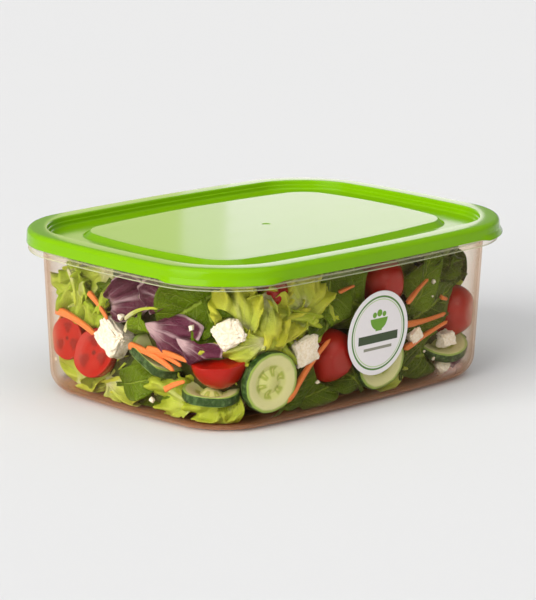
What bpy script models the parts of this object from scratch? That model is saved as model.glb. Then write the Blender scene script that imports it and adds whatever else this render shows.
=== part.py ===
"""Rectangular food tub with a snap lid and a round label.

Metres, +Z up. The tub stands on z = 0 with its middle on the Z axis. Its long, labelled side faces -Y.
The lid lifts straight up along Z. Every wall is a closed profile carried round one bowed, round-cornered outline.
"""

import math

import bmesh
import bpy

# Overall sizes, over the closed lid.
LID_LENGTH = 0.2500
LID_WIDTH = 0.1902
CLOSED_HEIGHT = 0.0917

# Plan outline: a round-cornered rectangle whose sides bulge outwards.
CORNER_RADIUS = 0.0439
SIDE_BOW = 0.0054

# Clearance between pieces that meet.
SEAT_GAP = 0.0003

# Tub.
TUB_WALL = 0.0012
WALL_INSET_TOP = 0.0090
WALL_INSET_BASE = 0.0130
BASE_FILLET = 0.0180
BASE_RING_WIDTH = 0.0055
BASE_RECESS = 0.0008
BASE_RECESS_SLOPE = 0.0012
BAND_HEIGHT = 0.0041
BAND_INSET = 0.00095
RIM_FACE_INSET = 0.0021
RIM_EDGE_ROUND = 0.0008
BEAD_HEIGHT = 0.00025
TUB_BEAD_BELOW_TOP = 0.0029

# Lid.
LID_WALL = 0.0012
SKIRT_HEIGHT = 0.0080
SKIRT_DRAFT = 0.0004
SKIRT_ROUND = 0.0018
LID_BEAD_ABOVE_EDGE = 0.0018
PLUG_CLEARANCE = 0.0005
PLUG_STEP = 0.0009
TROUGH_DEPTH = 0.0053
PANEL_DROP = 0.0025
PANEL_INSET = 0.0332
PANEL_SLOPE = 0.0034
PANEL_CORNER_RADIUS = 0.0135
PANEL_BOW = 0.0065
PULL_LIP_OUT = 0.0017
PULL_LIP_DROP = 0.0009

# Label on the front wall.
LABEL_DIAMETER = 0.0470
LABEL_THICKNESS = 0.0003
LABEL_X = 0.0030

# Fineness of the mesh.
CORNER_STEPS = 6
LONG_SIDE_STEPS = 6
SHORT_SIDE_STEPS = 4
FILLET_STEPS = 5
LABEL_STEPS = 32

# Heights that follow from the sizes above.
SKIRT_BOTTOM = CLOSED_HEIGHT - SKIRT_HEIGHT
BAND_TOP = SKIRT_BOTTOM - SEAT_GAP
BAND_BOTTOM = SKIRT_BOTTOM - BAND_HEIGHT
RIM_TOP = CLOSED_HEIGHT - LID_WALL - SEAT_GAP
TROUGH_FLOOR = CLOSED_HEIGHT - TROUGH_DEPTH
PANEL_TOP = CLOSED_HEIGHT - PANEL_DROP
DRAFT_ANGLE = math.atan((WALL_INSET_BASE - WALL_INSET_TOP) / BAND_BOTTOM)


def clear_scene():
    """Remove every object that the scene holds."""
    for obj in list(bpy.data.objects):
        bpy.data.objects.remove(obj, do_unlink=True)


def make_material(name, colour, roughness, alpha=1.0):
    """Plastic with one colour."""
    material = bpy.data.materials.new(name)
    material.use_nodes = True
    shader = material.node_tree.nodes["Principled BSDF"]
    shader.inputs["Base Color"].default_value = (*colour, 1.0)
    shader.inputs["Roughness"].default_value = roughness
    shader.inputs["Metallic"].default_value = 0.0
    shader.inputs["Alpha"].default_value = alpha
    return material


def bowed(x, y, half_x, half_y, bow):
    """Move a point of the straight-sided outline outwards, most at the middle of a side."""
    out_x = 1.0 + bow / half_x * (1.0 - (y / half_y) ** 2)
    out_y = 1.0 + bow / half_y * (1.0 - (x / half_x) ** 2)
    return x * out_x, y * out_y


def outline(inset, corner_radius=None, bow=SIDE_BOW):
    """Plan points, anticlockwise from the +X +Y corner, at a distance inside the lid's own outline.

    Corners stay concentric with the lid's unless a radius is given.
    """
    half_x = LID_LENGTH / 2 - SIDE_BOW - inset
    half_y = LID_WIDTH / 2 - SIDE_BOW - inset
    radius = CORNER_RADIUS - inset if corner_radius is None else corner_radius
    centre_x = half_x - radius
    centre_y = half_y - radius
    corners = [(1, 1), (-1, 1), (-1, -1), (1, -1)]
    side_steps = [LONG_SIDE_STEPS, SHORT_SIDE_STEPS, LONG_SIDE_STEPS, SHORT_SIDE_STEPS]
    straight = []
    for number, (side_x, side_y) in enumerate(corners):
        for step in range(CORNER_STEPS + 1):
            angle = math.pi / 2 * (number + step / CORNER_STEPS)
            x = side_x * centre_x + radius * math.cos(angle)
            y = side_y * centre_y + radius * math.sin(angle)
            straight.append((x, y))
        next_x, next_y = corners[(number + 1) % 4]
        angle = math.pi / 2 * (number + 1)
        start_x, start_y = straight[-1]
        end_x = next_x * centre_x + radius * math.cos(angle)
        end_y = next_y * centre_y + radius * math.sin(angle)
        for step in range(1, side_steps[number]):
            share = step / side_steps[number]
            straight.append((start_x + share * (end_x - start_x), start_y + share * (end_y - start_y)))
    return [bowed(x, y, half_x, half_y, bow) for x, y in straight]


def pull_lip_weights():
    """One weight for each outline point: 1 along the two corners of the labelled side, otherwise 0."""
    weights = []
    for number, side_steps in enumerate((LONG_SIDE_STEPS, SHORT_SIDE_STEPS) * 2):
        is_labelled_corner = number >= 2
        for step in range(CORNER_STEPS + 1):
            weights.append(float(is_labelled_corner and 0 < step < CORNER_STEPS))
        weights.extend([0.0] * (side_steps - 1))
    return weights


def wall_inset(z):
    """Distance from the lid's outline to the tub's outer wall, which narrows towards the base."""
    return WALL_INSET_BASE + (WALL_INSET_TOP - WALL_INSET_BASE) * z / BAND_BOTTOM


def skin_through(name, rings, origin, material):
    """Closed body through rings of points, each grown from the one before, with flat caps at both ends."""
    bm = bmesh.new()
    shifted = [[(x - origin[0], y - origin[1], z - origin[2]) for x, y, z in ring] for ring in rings]
    current = [bm.verts.new(point) for point in shifted[0]]
    bm.faces.new(current)
    for points in shifted[1:]:
        edges = [bm.edges.get(pair) for pair in zip(current, current[1:] + current[:1])]
        grown = bmesh.ops.extrude_edge_only(bm, edges=edges)["geom"]
        new_verts = {item for item in grown if isinstance(item, bmesh.types.BMVert)}
        following = []
        for vert, point in zip(current, points):
            partner = next(edge.other_vert(vert) for edge in vert.link_edges if edge.other_vert(vert) in new_verts)
            partner.co = point
            following.append(partner)
        current = following
    bm.faces.new(current)
    bmesh.ops.recalc_face_normals(bm, faces=bm.faces)
    mesh = bpy.data.meshes.new(name)
    bm.to_mesh(mesh)
    bm.free()
    mesh.shade_smooth()
    mesh.set_sharp_from_angle(angle=math.radians(30))
    mesh.materials.append(material)
    obj = bpy.data.objects.new(name, mesh)
    obj.location = origin
    bpy.context.scene.collection.objects.link(obj)
    return obj


def base_fillet(radius):
    """Profile points (inset, z) of the round between wall and base, from the base up to the wall."""
    touch_z = BASE_FILLET * (1.0 - math.sin(DRAFT_ANGLE))
    centre_inset = wall_inset(touch_z) + BASE_FILLET * math.cos(DRAFT_ANGLE)
    points = []
    for step in range(FILLET_STEPS + 1):
        angle = math.pi / 2 + (DRAFT_ANGLE - math.pi / 2) * step / FILLET_STEPS
        points.append((centre_inset - radius * math.cos(angle), BASE_FILLET - radius * math.sin(angle)))
    return points


def tub_profile():
    """Profile points (inset, z) from the middle of the base, up the outside, over the rim and down inside."""
    outer_fillet = base_fillet(BASE_FILLET)
    inner_fillet = base_fillet(BASE_FILLET - TUB_WALL)
    ring_inset = outer_fillet[0][0] + BASE_RING_WIDTH
    recess_inset = ring_inset + BASE_RECESS_SLOPE
    wall_across = TUB_WALL / math.cos(DRAFT_ANGLE)
    flange_under = RIM_TOP - TUB_WALL
    skirt_inside = RIM_FACE_INSET + TUB_WALL
    bead_z = RIM_TOP - TUB_BEAD_BELOW_TOP
    profile = [(recess_inset, BASE_RECESS), (ring_inset, 0.0)]
    profile += outer_fillet
    profile += [
        (wall_inset(flange_under), flange_under),
        (skirt_inside, flange_under),
        (skirt_inside, BAND_TOP - TUB_WALL),
        (BAND_INSET + TUB_WALL, BAND_TOP - TUB_WALL),
        (BAND_INSET + TUB_WALL, BAND_BOTTOM),
        (BAND_INSET, BAND_BOTTOM),
        (BAND_INSET, BAND_TOP),
        (RIM_FACE_INSET, BAND_TOP),
        (RIM_FACE_INSET, bead_z - RIM_EDGE_ROUND),
        (RIM_FACE_INSET - BEAD_HEIGHT, bead_z),
        (RIM_FACE_INSET, bead_z + RIM_EDGE_ROUND),
        (RIM_FACE_INSET, RIM_TOP - RIM_EDGE_ROUND),
        (RIM_FACE_INSET + RIM_EDGE_ROUND, RIM_TOP),
        (wall_inset(RIM_TOP) + wall_across - RIM_EDGE_ROUND, RIM_TOP),
        (wall_inset(RIM_TOP) + wall_across, RIM_TOP - RIM_EDGE_ROUND),
    ]
    profile += reversed(inner_fillet)
    profile += [(ring_inset, TUB_WALL), (recess_inset, TUB_WALL + BASE_RECESS)]
    return profile


def build_tub(material):
    """Clear tub: one thin wall with a turned-down rim, a visible band and a snap bead."""
    rings = [[(x, y, z) for x, y in outline(inset)] for inset, z in tub_profile()]
    return skin_through("tub", rings, (0.0, 0.0, 0.0), material)


def lid_sections():
    """Lid profile from the middle of the panel's top, out over the rim, down the skirt and back underneath.

    Each section is (inset, z, share of the pull lip that it follows, corner radius, bow).
    """
    plug_face = TUB_WALL / math.cos(DRAFT_ANGLE) + PLUG_CLEARANCE
    trough_under = TROUGH_FLOOR - LID_WALL
    rim_under = CLOSED_HEIGHT - LID_WALL
    step_z = (CLOSED_HEIGHT + TROUGH_FLOOR) / 2
    plug_top = wall_inset(CLOSED_HEIGHT) + plug_face + LID_WALL
    plug_low = wall_inset(TROUGH_FLOOR) + plug_face + LID_WALL + PLUG_STEP
    round_third = SKIRT_ROUND * (1.0 - math.sqrt(0.5))
    slope_foot = PANEL_INSET - PANEL_SLOPE
    lid_bead_z = SKIRT_BOTTOM + LID_BEAD_ABOVE_EDGE

    def plain(inset, z, lip=0.0):
        return inset, z, lip, None, SIDE_BOW

    def panel(inset, z):
        return inset, z, 0.0, PANEL_CORNER_RADIUS + PANEL_INSET - inset, PANEL_BOW

    return [
        panel(PANEL_INSET, PANEL_TOP),
        panel(slope_foot, TROUGH_FLOOR),
        plain(plug_low, TROUGH_FLOOR),
        plain(plug_low - PLUG_STEP / 4, step_z - PLUG_STEP / 4),
        plain(plug_top, step_z + PLUG_STEP / 4),
        plain(plug_top, CLOSED_HEIGHT - RIM_EDGE_ROUND),
        plain(plug_top - RIM_EDGE_ROUND, CLOSED_HEIGHT),
        plain(SKIRT_DRAFT + SKIRT_ROUND, CLOSED_HEIGHT),
        plain(SKIRT_DRAFT + round_third, CLOSED_HEIGHT - round_third),
        plain(SKIRT_DRAFT, CLOSED_HEIGHT - SKIRT_ROUND),
        plain(SKIRT_DRAFT / 4, lid_bead_z, 0.2),
        plain(0.0, SKIRT_BOTTOM, 1.0),
        plain(LID_WALL, SKIRT_BOTTOM, 1.0),
        plain(LID_WALL, lid_bead_z - RIM_EDGE_ROUND, 0.4),
        plain(LID_WALL + BEAD_HEIGHT, lid_bead_z, 0.2),
        plain(LID_WALL + SKIRT_DRAFT / 4, lid_bead_z + RIM_EDGE_ROUND, 0.1),
        plain(LID_WALL + SKIRT_DRAFT, rim_under - RIM_EDGE_ROUND),
        plain(LID_WALL + SKIRT_DRAFT + RIM_EDGE_ROUND, rim_under),
        plain(wall_inset(rim_under) + plug_face, rim_under),
        plain(wall_inset(trough_under) + plug_face, trough_under),
        panel(slope_foot + LID_WALL / 2, trough_under),
        panel(PANEL_INSET + LID_WALL / 2, PANEL_TOP - LID_WALL),
    ]


def lid_ring(inset, z, lip, corner_radius, bow):
    """One ring of the lid, pushed out and down along the pull lips."""
    ring = []
    plan = outline(inset, corner_radius, bow)
    pushed_plan = outline(inset - PULL_LIP_OUT * lip, corner_radius, bow)
    for weight, (x, y), (far_x, far_y) in zip(pull_lip_weights(), plan, pushed_plan):
        x += weight * (far_x - x)
        y += weight * (far_y - y)
        ring.append((x, y, z - weight * lip * PULL_LIP_DROP))
    return ring


def build_lid(material):
    """Green lid: skirt, rim, plug, trough and raised panel, with its origin on the lifting axis."""
    rings = [lid_ring(*section) for section in lid_sections()]
    return skin_through("lid", rings, (0.0, 0.0, RIM_TOP), material)


def front_wall_y(x, z):
    """Y of the tub's outer front wall at a place on its middle stretch."""
    half_x = LID_LENGTH / 2 - SIDE_BOW - wall_inset(z)
    half_y = LID_WIDTH / 2 - SIDE_BOW - wall_inset(z)
    return -(half_y + SIDE_BOW * (1.0 - (x / half_x) ** 2))


def build_label(material):
    """Round sticker that follows the curve and the slope of the front wall."""
    radius = LABEL_DIAMETER / 2
    centre_z = BASE_FILLET + radius
    back = SEAT_GAP
    front = SEAT_GAP + LABEL_THICKNESS
    rings = []
    for share, stand_off in ((1 / 3, front), (2 / 3, front), (1, front), (1, back), (2 / 3, back), (1 / 3, back)):
        ring = []
        for step in range(LABEL_STEPS):
            angle = 2 * math.pi * step / LABEL_STEPS
            x = LABEL_X + share * radius * math.cos(angle)
            z = centre_z + share * radius * math.sin(angle)
            ring.append((x, front_wall_y(x, z) - stand_off, z))
        rings.append(ring)
    return skin_through("label", rings, (LABEL_X, front_wall_y(LABEL_X, centre_z), centre_z), material)


def main():
    """Build the container."""
    clear_scene()
    build_tub(make_material("clear_plastic", (0.80, 0.70, 0.62), 0.08, alpha=0.3))
    build_lid(make_material("green_plastic", (0.27, 0.56, 0.02), 0.25))
    build_label(make_material("printed_film", (0.93, 0.94, 0.92), 0.40))


main()
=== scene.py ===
"""Looks of the lidded food tub: a clear moulded tub, a glossy lid, a printed label and the salad inside."""
import logging
import math
from dataclasses import dataclass
from enum import Enum
from typing import Any, Protocol

import bpy
import numpy as np
from mathutils import Matrix, Vector


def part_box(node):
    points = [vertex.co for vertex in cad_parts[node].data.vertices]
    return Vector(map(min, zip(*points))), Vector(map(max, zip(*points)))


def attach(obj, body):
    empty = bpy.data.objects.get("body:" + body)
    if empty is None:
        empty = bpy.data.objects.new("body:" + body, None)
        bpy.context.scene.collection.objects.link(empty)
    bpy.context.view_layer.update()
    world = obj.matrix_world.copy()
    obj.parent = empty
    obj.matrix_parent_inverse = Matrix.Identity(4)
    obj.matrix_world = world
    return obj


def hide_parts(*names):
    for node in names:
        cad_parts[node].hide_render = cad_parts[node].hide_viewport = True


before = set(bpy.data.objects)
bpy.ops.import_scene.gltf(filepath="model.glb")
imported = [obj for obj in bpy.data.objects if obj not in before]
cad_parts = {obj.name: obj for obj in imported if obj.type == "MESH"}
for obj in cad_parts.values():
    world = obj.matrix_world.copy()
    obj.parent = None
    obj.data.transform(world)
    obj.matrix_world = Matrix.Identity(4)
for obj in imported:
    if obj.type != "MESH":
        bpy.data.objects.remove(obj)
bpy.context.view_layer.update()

log = logging.getLogger("tub")
Colour = tuple[float, float, float, float]
Array = np.ndarray


def srgb(red: int, green: int, blue: int) -> Colour:
    """Linear colour of an 8-bit sRGB triple, as a shader socket takes it.

    Args:
        red, green, blue: Values from 0 to 255.

    Returns:
        Linear red, green, blue and an alpha of 1.
    """
    parts = np.array([red, green, blue]) / 255.0
    linear = np.where(parts <= 0.04045, parts / 12.92, ((parts + 0.055) / 1.055) ** 2.4)
    return float(linear[0]), float(linear[1]), float(linear[2]), 1.0


def smoothstep(low: float, high: float, value: Array) -> Array:
    """Zero below low, one above high, and 3t^2 - 2t^3 between them."""
    t = np.clip((value - low) / (high - low), 0.0, 1.0)
    return t * t * (3.0 - 2.0 * t)


def stacked(*parts: Any) -> Array:
    """Arrays of unlike shapes side by side in a new last axis."""
    return np.stack(np.broadcast_arrays(*parts), -1)


def circle(count: int) -> Array:
    """Even steps of angle round a circle, as one row."""
    return np.linspace(0.0, 2 * np.pi, count, endpoint=False)[None]


def square_wave(wave: Array, power: float) -> Array:
    """|wave|^power with the wave's own sign, which squares off a circle's sine and cosine."""
    return np.sign(wave) * np.abs(wave) ** power


def toward(heading: float, lift: float) -> Vector:
    """Unit vector at a heading and lift in degrees; heading 0 is the front, 90 the right."""
    turn, rise = math.radians(heading), math.radians(lift)
    return Vector((math.sin(turn) * math.cos(rise), -math.cos(turn) * math.cos(rise), math.sin(rise)))


# ---- Shader graph ----


class Socket:
    """An output of a shader node. Arithmetic on it adds Math nodes."""

    def __init__(self, graph: "Graph", output: bpy.types.NodeSocket) -> None:
        """Keep the graph and the output."""
        self.graph = graph
        self.output = output

    def maths(self, operation: str, first: Any, second: Any = 0.0) -> "Socket":
        """One Math node on two values or sockets."""
        return self.graph.node("ShaderNodeMath", {"operation": operation}, {0: first, 1: second})

    def __add__(self, other: Any) -> "Socket":
        """Sum."""
        return self.maths("ADD", self, other)

    def __radd__(self, other: Any) -> "Socket":
        """Sum."""
        return self.maths("ADD", other, self)

    def __sub__(self, other: Any) -> "Socket":
        """Difference."""
        return self.maths("SUBTRACT", self, other)

    def __rsub__(self, other: Any) -> "Socket":
        """Difference from a number."""
        return self.maths("SUBTRACT", other, self)

    def __mul__(self, other: Any) -> "Socket":
        """Product."""
        return self.maths("MULTIPLY", self, other)

    def __rmul__(self, other: Any) -> "Socket":
        """Product."""
        return self.maths("MULTIPLY", other, self)

    def __pow__(self, other: Any) -> "Socket":
        """Power."""
        return self.maths("POWER", self, other)

    def absolute(self) -> "Socket":
        """Value without its sign."""
        return self.maths("ABSOLUTE", self)

    def cosine(self) -> "Socket":
        """Cosine of the value in radians."""
        return self.maths("COSINE", self)

    def larger(self, other: Any) -> "Socket":
        """The larger of two values."""
        return self.maths("MAXIMUM", self, other)

    def smaller(self, other: Any) -> "Socket":
        """The smaller of two values."""
        return self.maths("MINIMUM", self, other)

    def ramp(self, low: float, high: float) -> "Socket":
        """Smooth step of the value from 0 at low to 1 at high."""
        bounds = {"Value": self, "From Min": low, "From Max": high}
        return self.graph.node("ShaderNodeMapRange", {"interpolation_type": "SMOOTHSTEP"}, bounds)

    def between(self, low: float, rise_end: float, fall_start: float, high: float) -> "Socket":
        """1 between the two inner bounds, easing to 0 at the outer ones."""
        return self.ramp(low, rise_end) * (1.0 - self.ramp(fall_start, high))


class Graph:
    """Node tree of one material."""

    def __init__(self, name: str) -> None:
        """Start an empty material of this name."""
        self.material = bpy.data.materials.new(name)
        self.material.use_nodes = True
        self.tree = self.material.node_tree
        self.tree.nodes.clear()

    def node(self, kind: str, settings: dict[str, Any] | None = None,
             values: dict[Any, Any] | None = None, output: Any = 0) -> Socket:
        """Add a node.

        Args:
            kind: The node's type name.
            settings: Its properties, set first.
            values: Numbers, colours or sockets for its inputs, by name or number.
            output: The output that is wanted, by name or number.

        Returns:
            The wanted output.
        """
        made = self.tree.nodes.new(kind)
        for key, value in (settings or {}).items():
            setattr(made, key, value)
        for key, value in (values or {}).items():
            if isinstance(value, Socket):
                self.tree.links.new(value.output, made.inputs[key])
            else:
                made.inputs[key].default_value = value
        return Socket(self, made.outputs[output])

    def place(self) -> Socket:
        """Object coordinates."""
        return self.node("ShaderNodeTexCoord", output="Object")

    def pattern(self) -> tuple[Socket, Socket]:
        """The two pattern coordinates that a piece carries in its UV map."""
        return self.split(self.node("ShaderNodeUVMap", {"uv_map": "pattern"}))[:2]

    def polar(self) -> tuple[Socket, Socket]:
        """Distance of the pattern coordinates from their middle, and their turn round it."""
        x, y = self.pattern()
        return (x * x + y * y) ** 0.5, y.maths("ARCTAN2", y, x)

    def tone(self) -> Socket:
        """The shade number, 0 to 1, that each grown or cut thing carries."""
        return self.node("ShaderNodeAttribute", {"attribute_name": "tone"}, output="Fac")

    def split(self, vector: Socket) -> tuple[Socket, Socket, Socket]:
        """X, Y and Z of a vector."""
        outputs = self.node("ShaderNodeSeparateXYZ", None, {0: vector}).output.node.outputs
        return Socket(self, outputs[0]), Socket(self, outputs[1]), Socket(self, outputs[2])

    def join(self, x: Any, y: Any, z: Any = 0.0) -> Socket:
        """Vector of three values."""
        return self.node("ShaderNodeCombineXYZ", None, {0: x, 1: y, 2: z})

    def noise(self, vector: Socket, scale: float, detail: float = 2.0, rough: float = 0.5) -> Socket:
        """Noise value around 0.5 at this many waves to the unit."""
        values = {"Vector": vector, "Scale": scale, "Detail": detail, "Roughness": rough}
        return self.node("ShaderNodeTexNoise", None, values)

    def cells(self, vector: Socket, scale: float, feature: str = "F1") -> Socket:
        """Distance to the nearest cell point, or to the cell's edge."""
        values = {"Vector": vector, "Scale": scale}
        return self.node("ShaderNodeTexVoronoi", {"feature": feature}, values, "Distance")

    def blend(self, share: Any, first: Any, second: Any, how: str = "MIX") -> Socket:
        """Mix of two colours by a share."""
        settings = {"data_type": "RGBA", "blend_type": how}
        return self.node("ShaderNodeMix", settings, {0: share, 6: first, 7: second}, 2)

    def bump(self, height: Socket, depth: float, strength: float = 1.0) -> Socket:
        """Normal of a relief of this depth in metres."""
        return self.node("ShaderNodeBump", None, {"Height": height, "Distance": depth, "Strength": strength})

    def principled(self, colour: Any, roughness: Any, others: dict[str, Any]) -> Socket:
        """Principled shader of this colour and roughness, with its other inputs."""
        values = {"Base Color": colour, "Roughness": roughness, **others}
        return self.node("ShaderNodeBsdfPrincipled", None, values)

    def leaf(self, face: Socket, glow: Colour, relief: Socket, share: float) -> Socket:
        """Leaf's face with a share of light that comes through from behind."""
        through = self.node("ShaderNodeBsdfTranslucent", None, {"Color": glow, "Normal": relief})
        return self.mixed(share, face, through)

    def mixed(self, share: Any, first: Socket, second: Socket) -> Socket:
        """Mix of two shaders by a share."""
        return self.node("ShaderNodeMixShader", None, {0: share, 1: first, 2: second})

    def finish(self, surface: Socket) -> bpy.types.Material:
        """Connect the surface and hand over the material.

        Args:
            surface: The finished shader.

        Returns:
            The material.
        """
        made = self.tree.nodes.new("ShaderNodeOutputMaterial")
        self.tree.links.new(surface.output, made.inputs["Surface"])
        return self.material


# ---- Surfaces ----


@dataclass
class Skin:
    """Vertices and faces of one piece, with two pattern coordinates and a tone for each vertex."""

    points: Array
    faces: list[Array]
    pattern: Array
    tone: Array

    @staticmethod
    def sheet(grid: Array, pattern: Array, tone: float = 0.5) -> "Skin":
        """Open sheet over a grid of points.

        Args:
            grid: Points in rows and columns.
            pattern: Two pattern coordinates for each point.
            tone: Shade number of the whole sheet.

        Returns:
            The sheet, one quad to each cell of the grid.
        """
        rows, columns = grid.shape[:2]
        number = np.arange(rows * columns).reshape(rows, columns)
        quads = stacked(number[:-1, :-1], number[:-1, 1:], number[1:, 1:], number[1:, :-1]).reshape(-1, 4)
        return Skin(grid.reshape(-1, 3), [quads], pattern.reshape(-1, 2), np.full(rows * columns, tone))

    @staticmethod
    def body(grid: Array, pattern: Array, tone: float = 0.5) -> "Skin":
        """Closed body whose columns join up and whose first and last rows shrink to a point each.

        Args:
            grid: Points in rows and columns.
            pattern: Two pattern coordinates for each point.
            tone: Shade number of the whole body.

        Returns:
            The body with its faces pointing out.
        """
        rows, columns = grid.shape[:2]
        points, flat = Skin.pinched(grid), Skin.pinched(pattern)
        number = np.arange((rows - 2) * columns).reshape(rows - 2, columns) + 1
        after = np.roll(number, -1, axis=1)
        quads = stacked(number[:-1], after[:-1], after[1:], number[1:]).reshape(-1, 4)
        first = stacked(0, after[0], number[0])
        last = stacked(len(points) - 1, number[-1], after[-1])
        if Skin.volume(points, quads) < 0:
            quads, first, last = quads[:, ::-1], first[:, ::-1], last[:, ::-1]
        return Skin(points, [quads, first, last], flat, np.full(len(points), tone))

    @staticmethod
    def pinched(grid: Array) -> Array:
        """One list of a grid's rows, the first and last shrunk to their means."""
        first, last = grid[0].mean(0)[None], grid[-1].mean(0)[None]
        return np.concatenate([first, grid[1:-1].reshape(-1, grid.shape[-1]), last])

    @staticmethod
    def volume(points: Array, quads: Array) -> float:
        """Six times the signed volume between the faces and the middle of the points.

        Args:
            points: The body's points.
            quads: Four point numbers to a face.

        Returns:
            The volume, above zero where the faces point out.
        """
        corners = (points - points.mean(0))[quads]
        halves = np.cross(corners[:, 1], corners[:, 2]), np.cross(corners[:, 2], corners[:, 3])
        return float((corners[:, 0] * (halves[0] + halves[1])).sum())

    @staticmethod
    def joined(skins: list["Skin"]) -> "Skin":
        """All skins in one, still separate bodies.

        Args:
            skins: The skins to join.

        Returns:
            One skin.
        """
        starts = np.cumsum([0] + [len(skin.points) for skin in skins])
        faces = [group + start for skin, start in zip(skins, starts) for group in skin.faces]
        points = np.concatenate([skin.points for skin in skins])
        pattern = np.concatenate([skin.pattern for skin in skins])
        return Skin(points, faces, pattern, np.concatenate([skin.tone for skin in skins]))

    def moved(self, turn: Matrix, place: Vector) -> "Skin":
        """The same skin turned and put at a place."""
        points = self.points @ np.array(turn.to_3x3()).T + np.array(place)
        return Skin(points, self.faces, self.pattern, self.tone)

    def piece(self, name: str, material: bpy.types.Material, slot: str | None, body: str,
              thickness: float = 0.0) -> bpy.types.Object:
        """Make the scene's object.

        Args:
            name: The piece's name.
            material: Its finish.
            slot: The record's material slot, or None for what the tub holds; not used.
            body: The body that the piece moves with.
            thickness: Thickness to give an open sheet, in metres.

        Returns:
            The object, at the origin, riding on its body.
        """
        mesh = bpy.data.meshes.new(name)
        faces = [face for group in self.faces for face in group.tolist()]
        mesh.from_pydata(self.points.tolist(), [], faces)
        mesh.update()
        corner_vertex = np.empty(len(mesh.loops), dtype=np.int32)
        mesh.loops.foreach_get("vertex_index", corner_vertex)
        layer = mesh.uv_layers.new(name="pattern")
        layer.data.foreach_set("uv", self.pattern[corner_vertex].astype(np.float32).ravel())
        mesh.attributes.new("tone", "FLOAT", "POINT").data.foreach_set("value", self.tone.astype(np.float32))
        mesh.shade_smooth()
        mesh.materials.append(material)
        made = bpy.data.objects.new(name, mesh)
        bpy.context.scene.collection.objects.link(made)
        if thickness:
            wall = made.modifiers.new("thickness", "SOLIDIFY")
            wall.thickness = thickness
            wall.offset = 0.0
        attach(made, body)
        log.info("%s: %d vertices, %d faces, rides on %s", name, len(self.points), len(faces), body)
        return made


def rounded(corners: Array, radii: Array, steps: int) -> Array:
    """Profile through corner points with a circular arc at each.

    An arc is the rational quadratic curve (1-t)^2 A + 2wt(1-t) P + t^2 B over (1-t)^2 + 2wt(1-t) + t^2,
    with P the corner, A and B the touching points and w the cosine of half the turn.

    Args:
        corners: Corner points, two columns.
        radii: Radius at each corner, cut down where the neighbouring stretches are too short.
        steps: Points on each arc.

    Returns:
        The profile's points, first and last corner included.
    """
    here, before, after = corners[1:-1], corners[:-2], corners[2:]
    back, ahead = before - here, after - here
    back_length = np.linalg.norm(back, axis=1)
    ahead_length = np.linalg.norm(ahead, axis=1)
    back, ahead = back / back_length[:, None], ahead / ahead_length[:, None]
    turn = np.pi - np.arccos(np.clip((back * ahead).sum(1), -1.0, 1.0))
    reach = radii[1:-1] * np.tan(turn / 2)
    reach = np.minimum(reach, 0.49 * np.minimum(back_length, ahead_length))[:, None]
    t = np.linspace(0.0, 1.0, steps)[None, :, None]
    weight = np.cos(turn / 2)[:, None, None]
    start, end, mid = (here + back * reach)[:, None], (here + ahead * reach)[:, None], here[:, None]
    shares = (1 - t) ** 2, 2 * weight * t * (1 - t), t ** 2
    arcs = (shares[0] * start + shares[1] * mid + shares[2] * end) / sum(shares)
    return np.concatenate([corners[:1], arcs.reshape(-1, 2), corners[-1:]])


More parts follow.
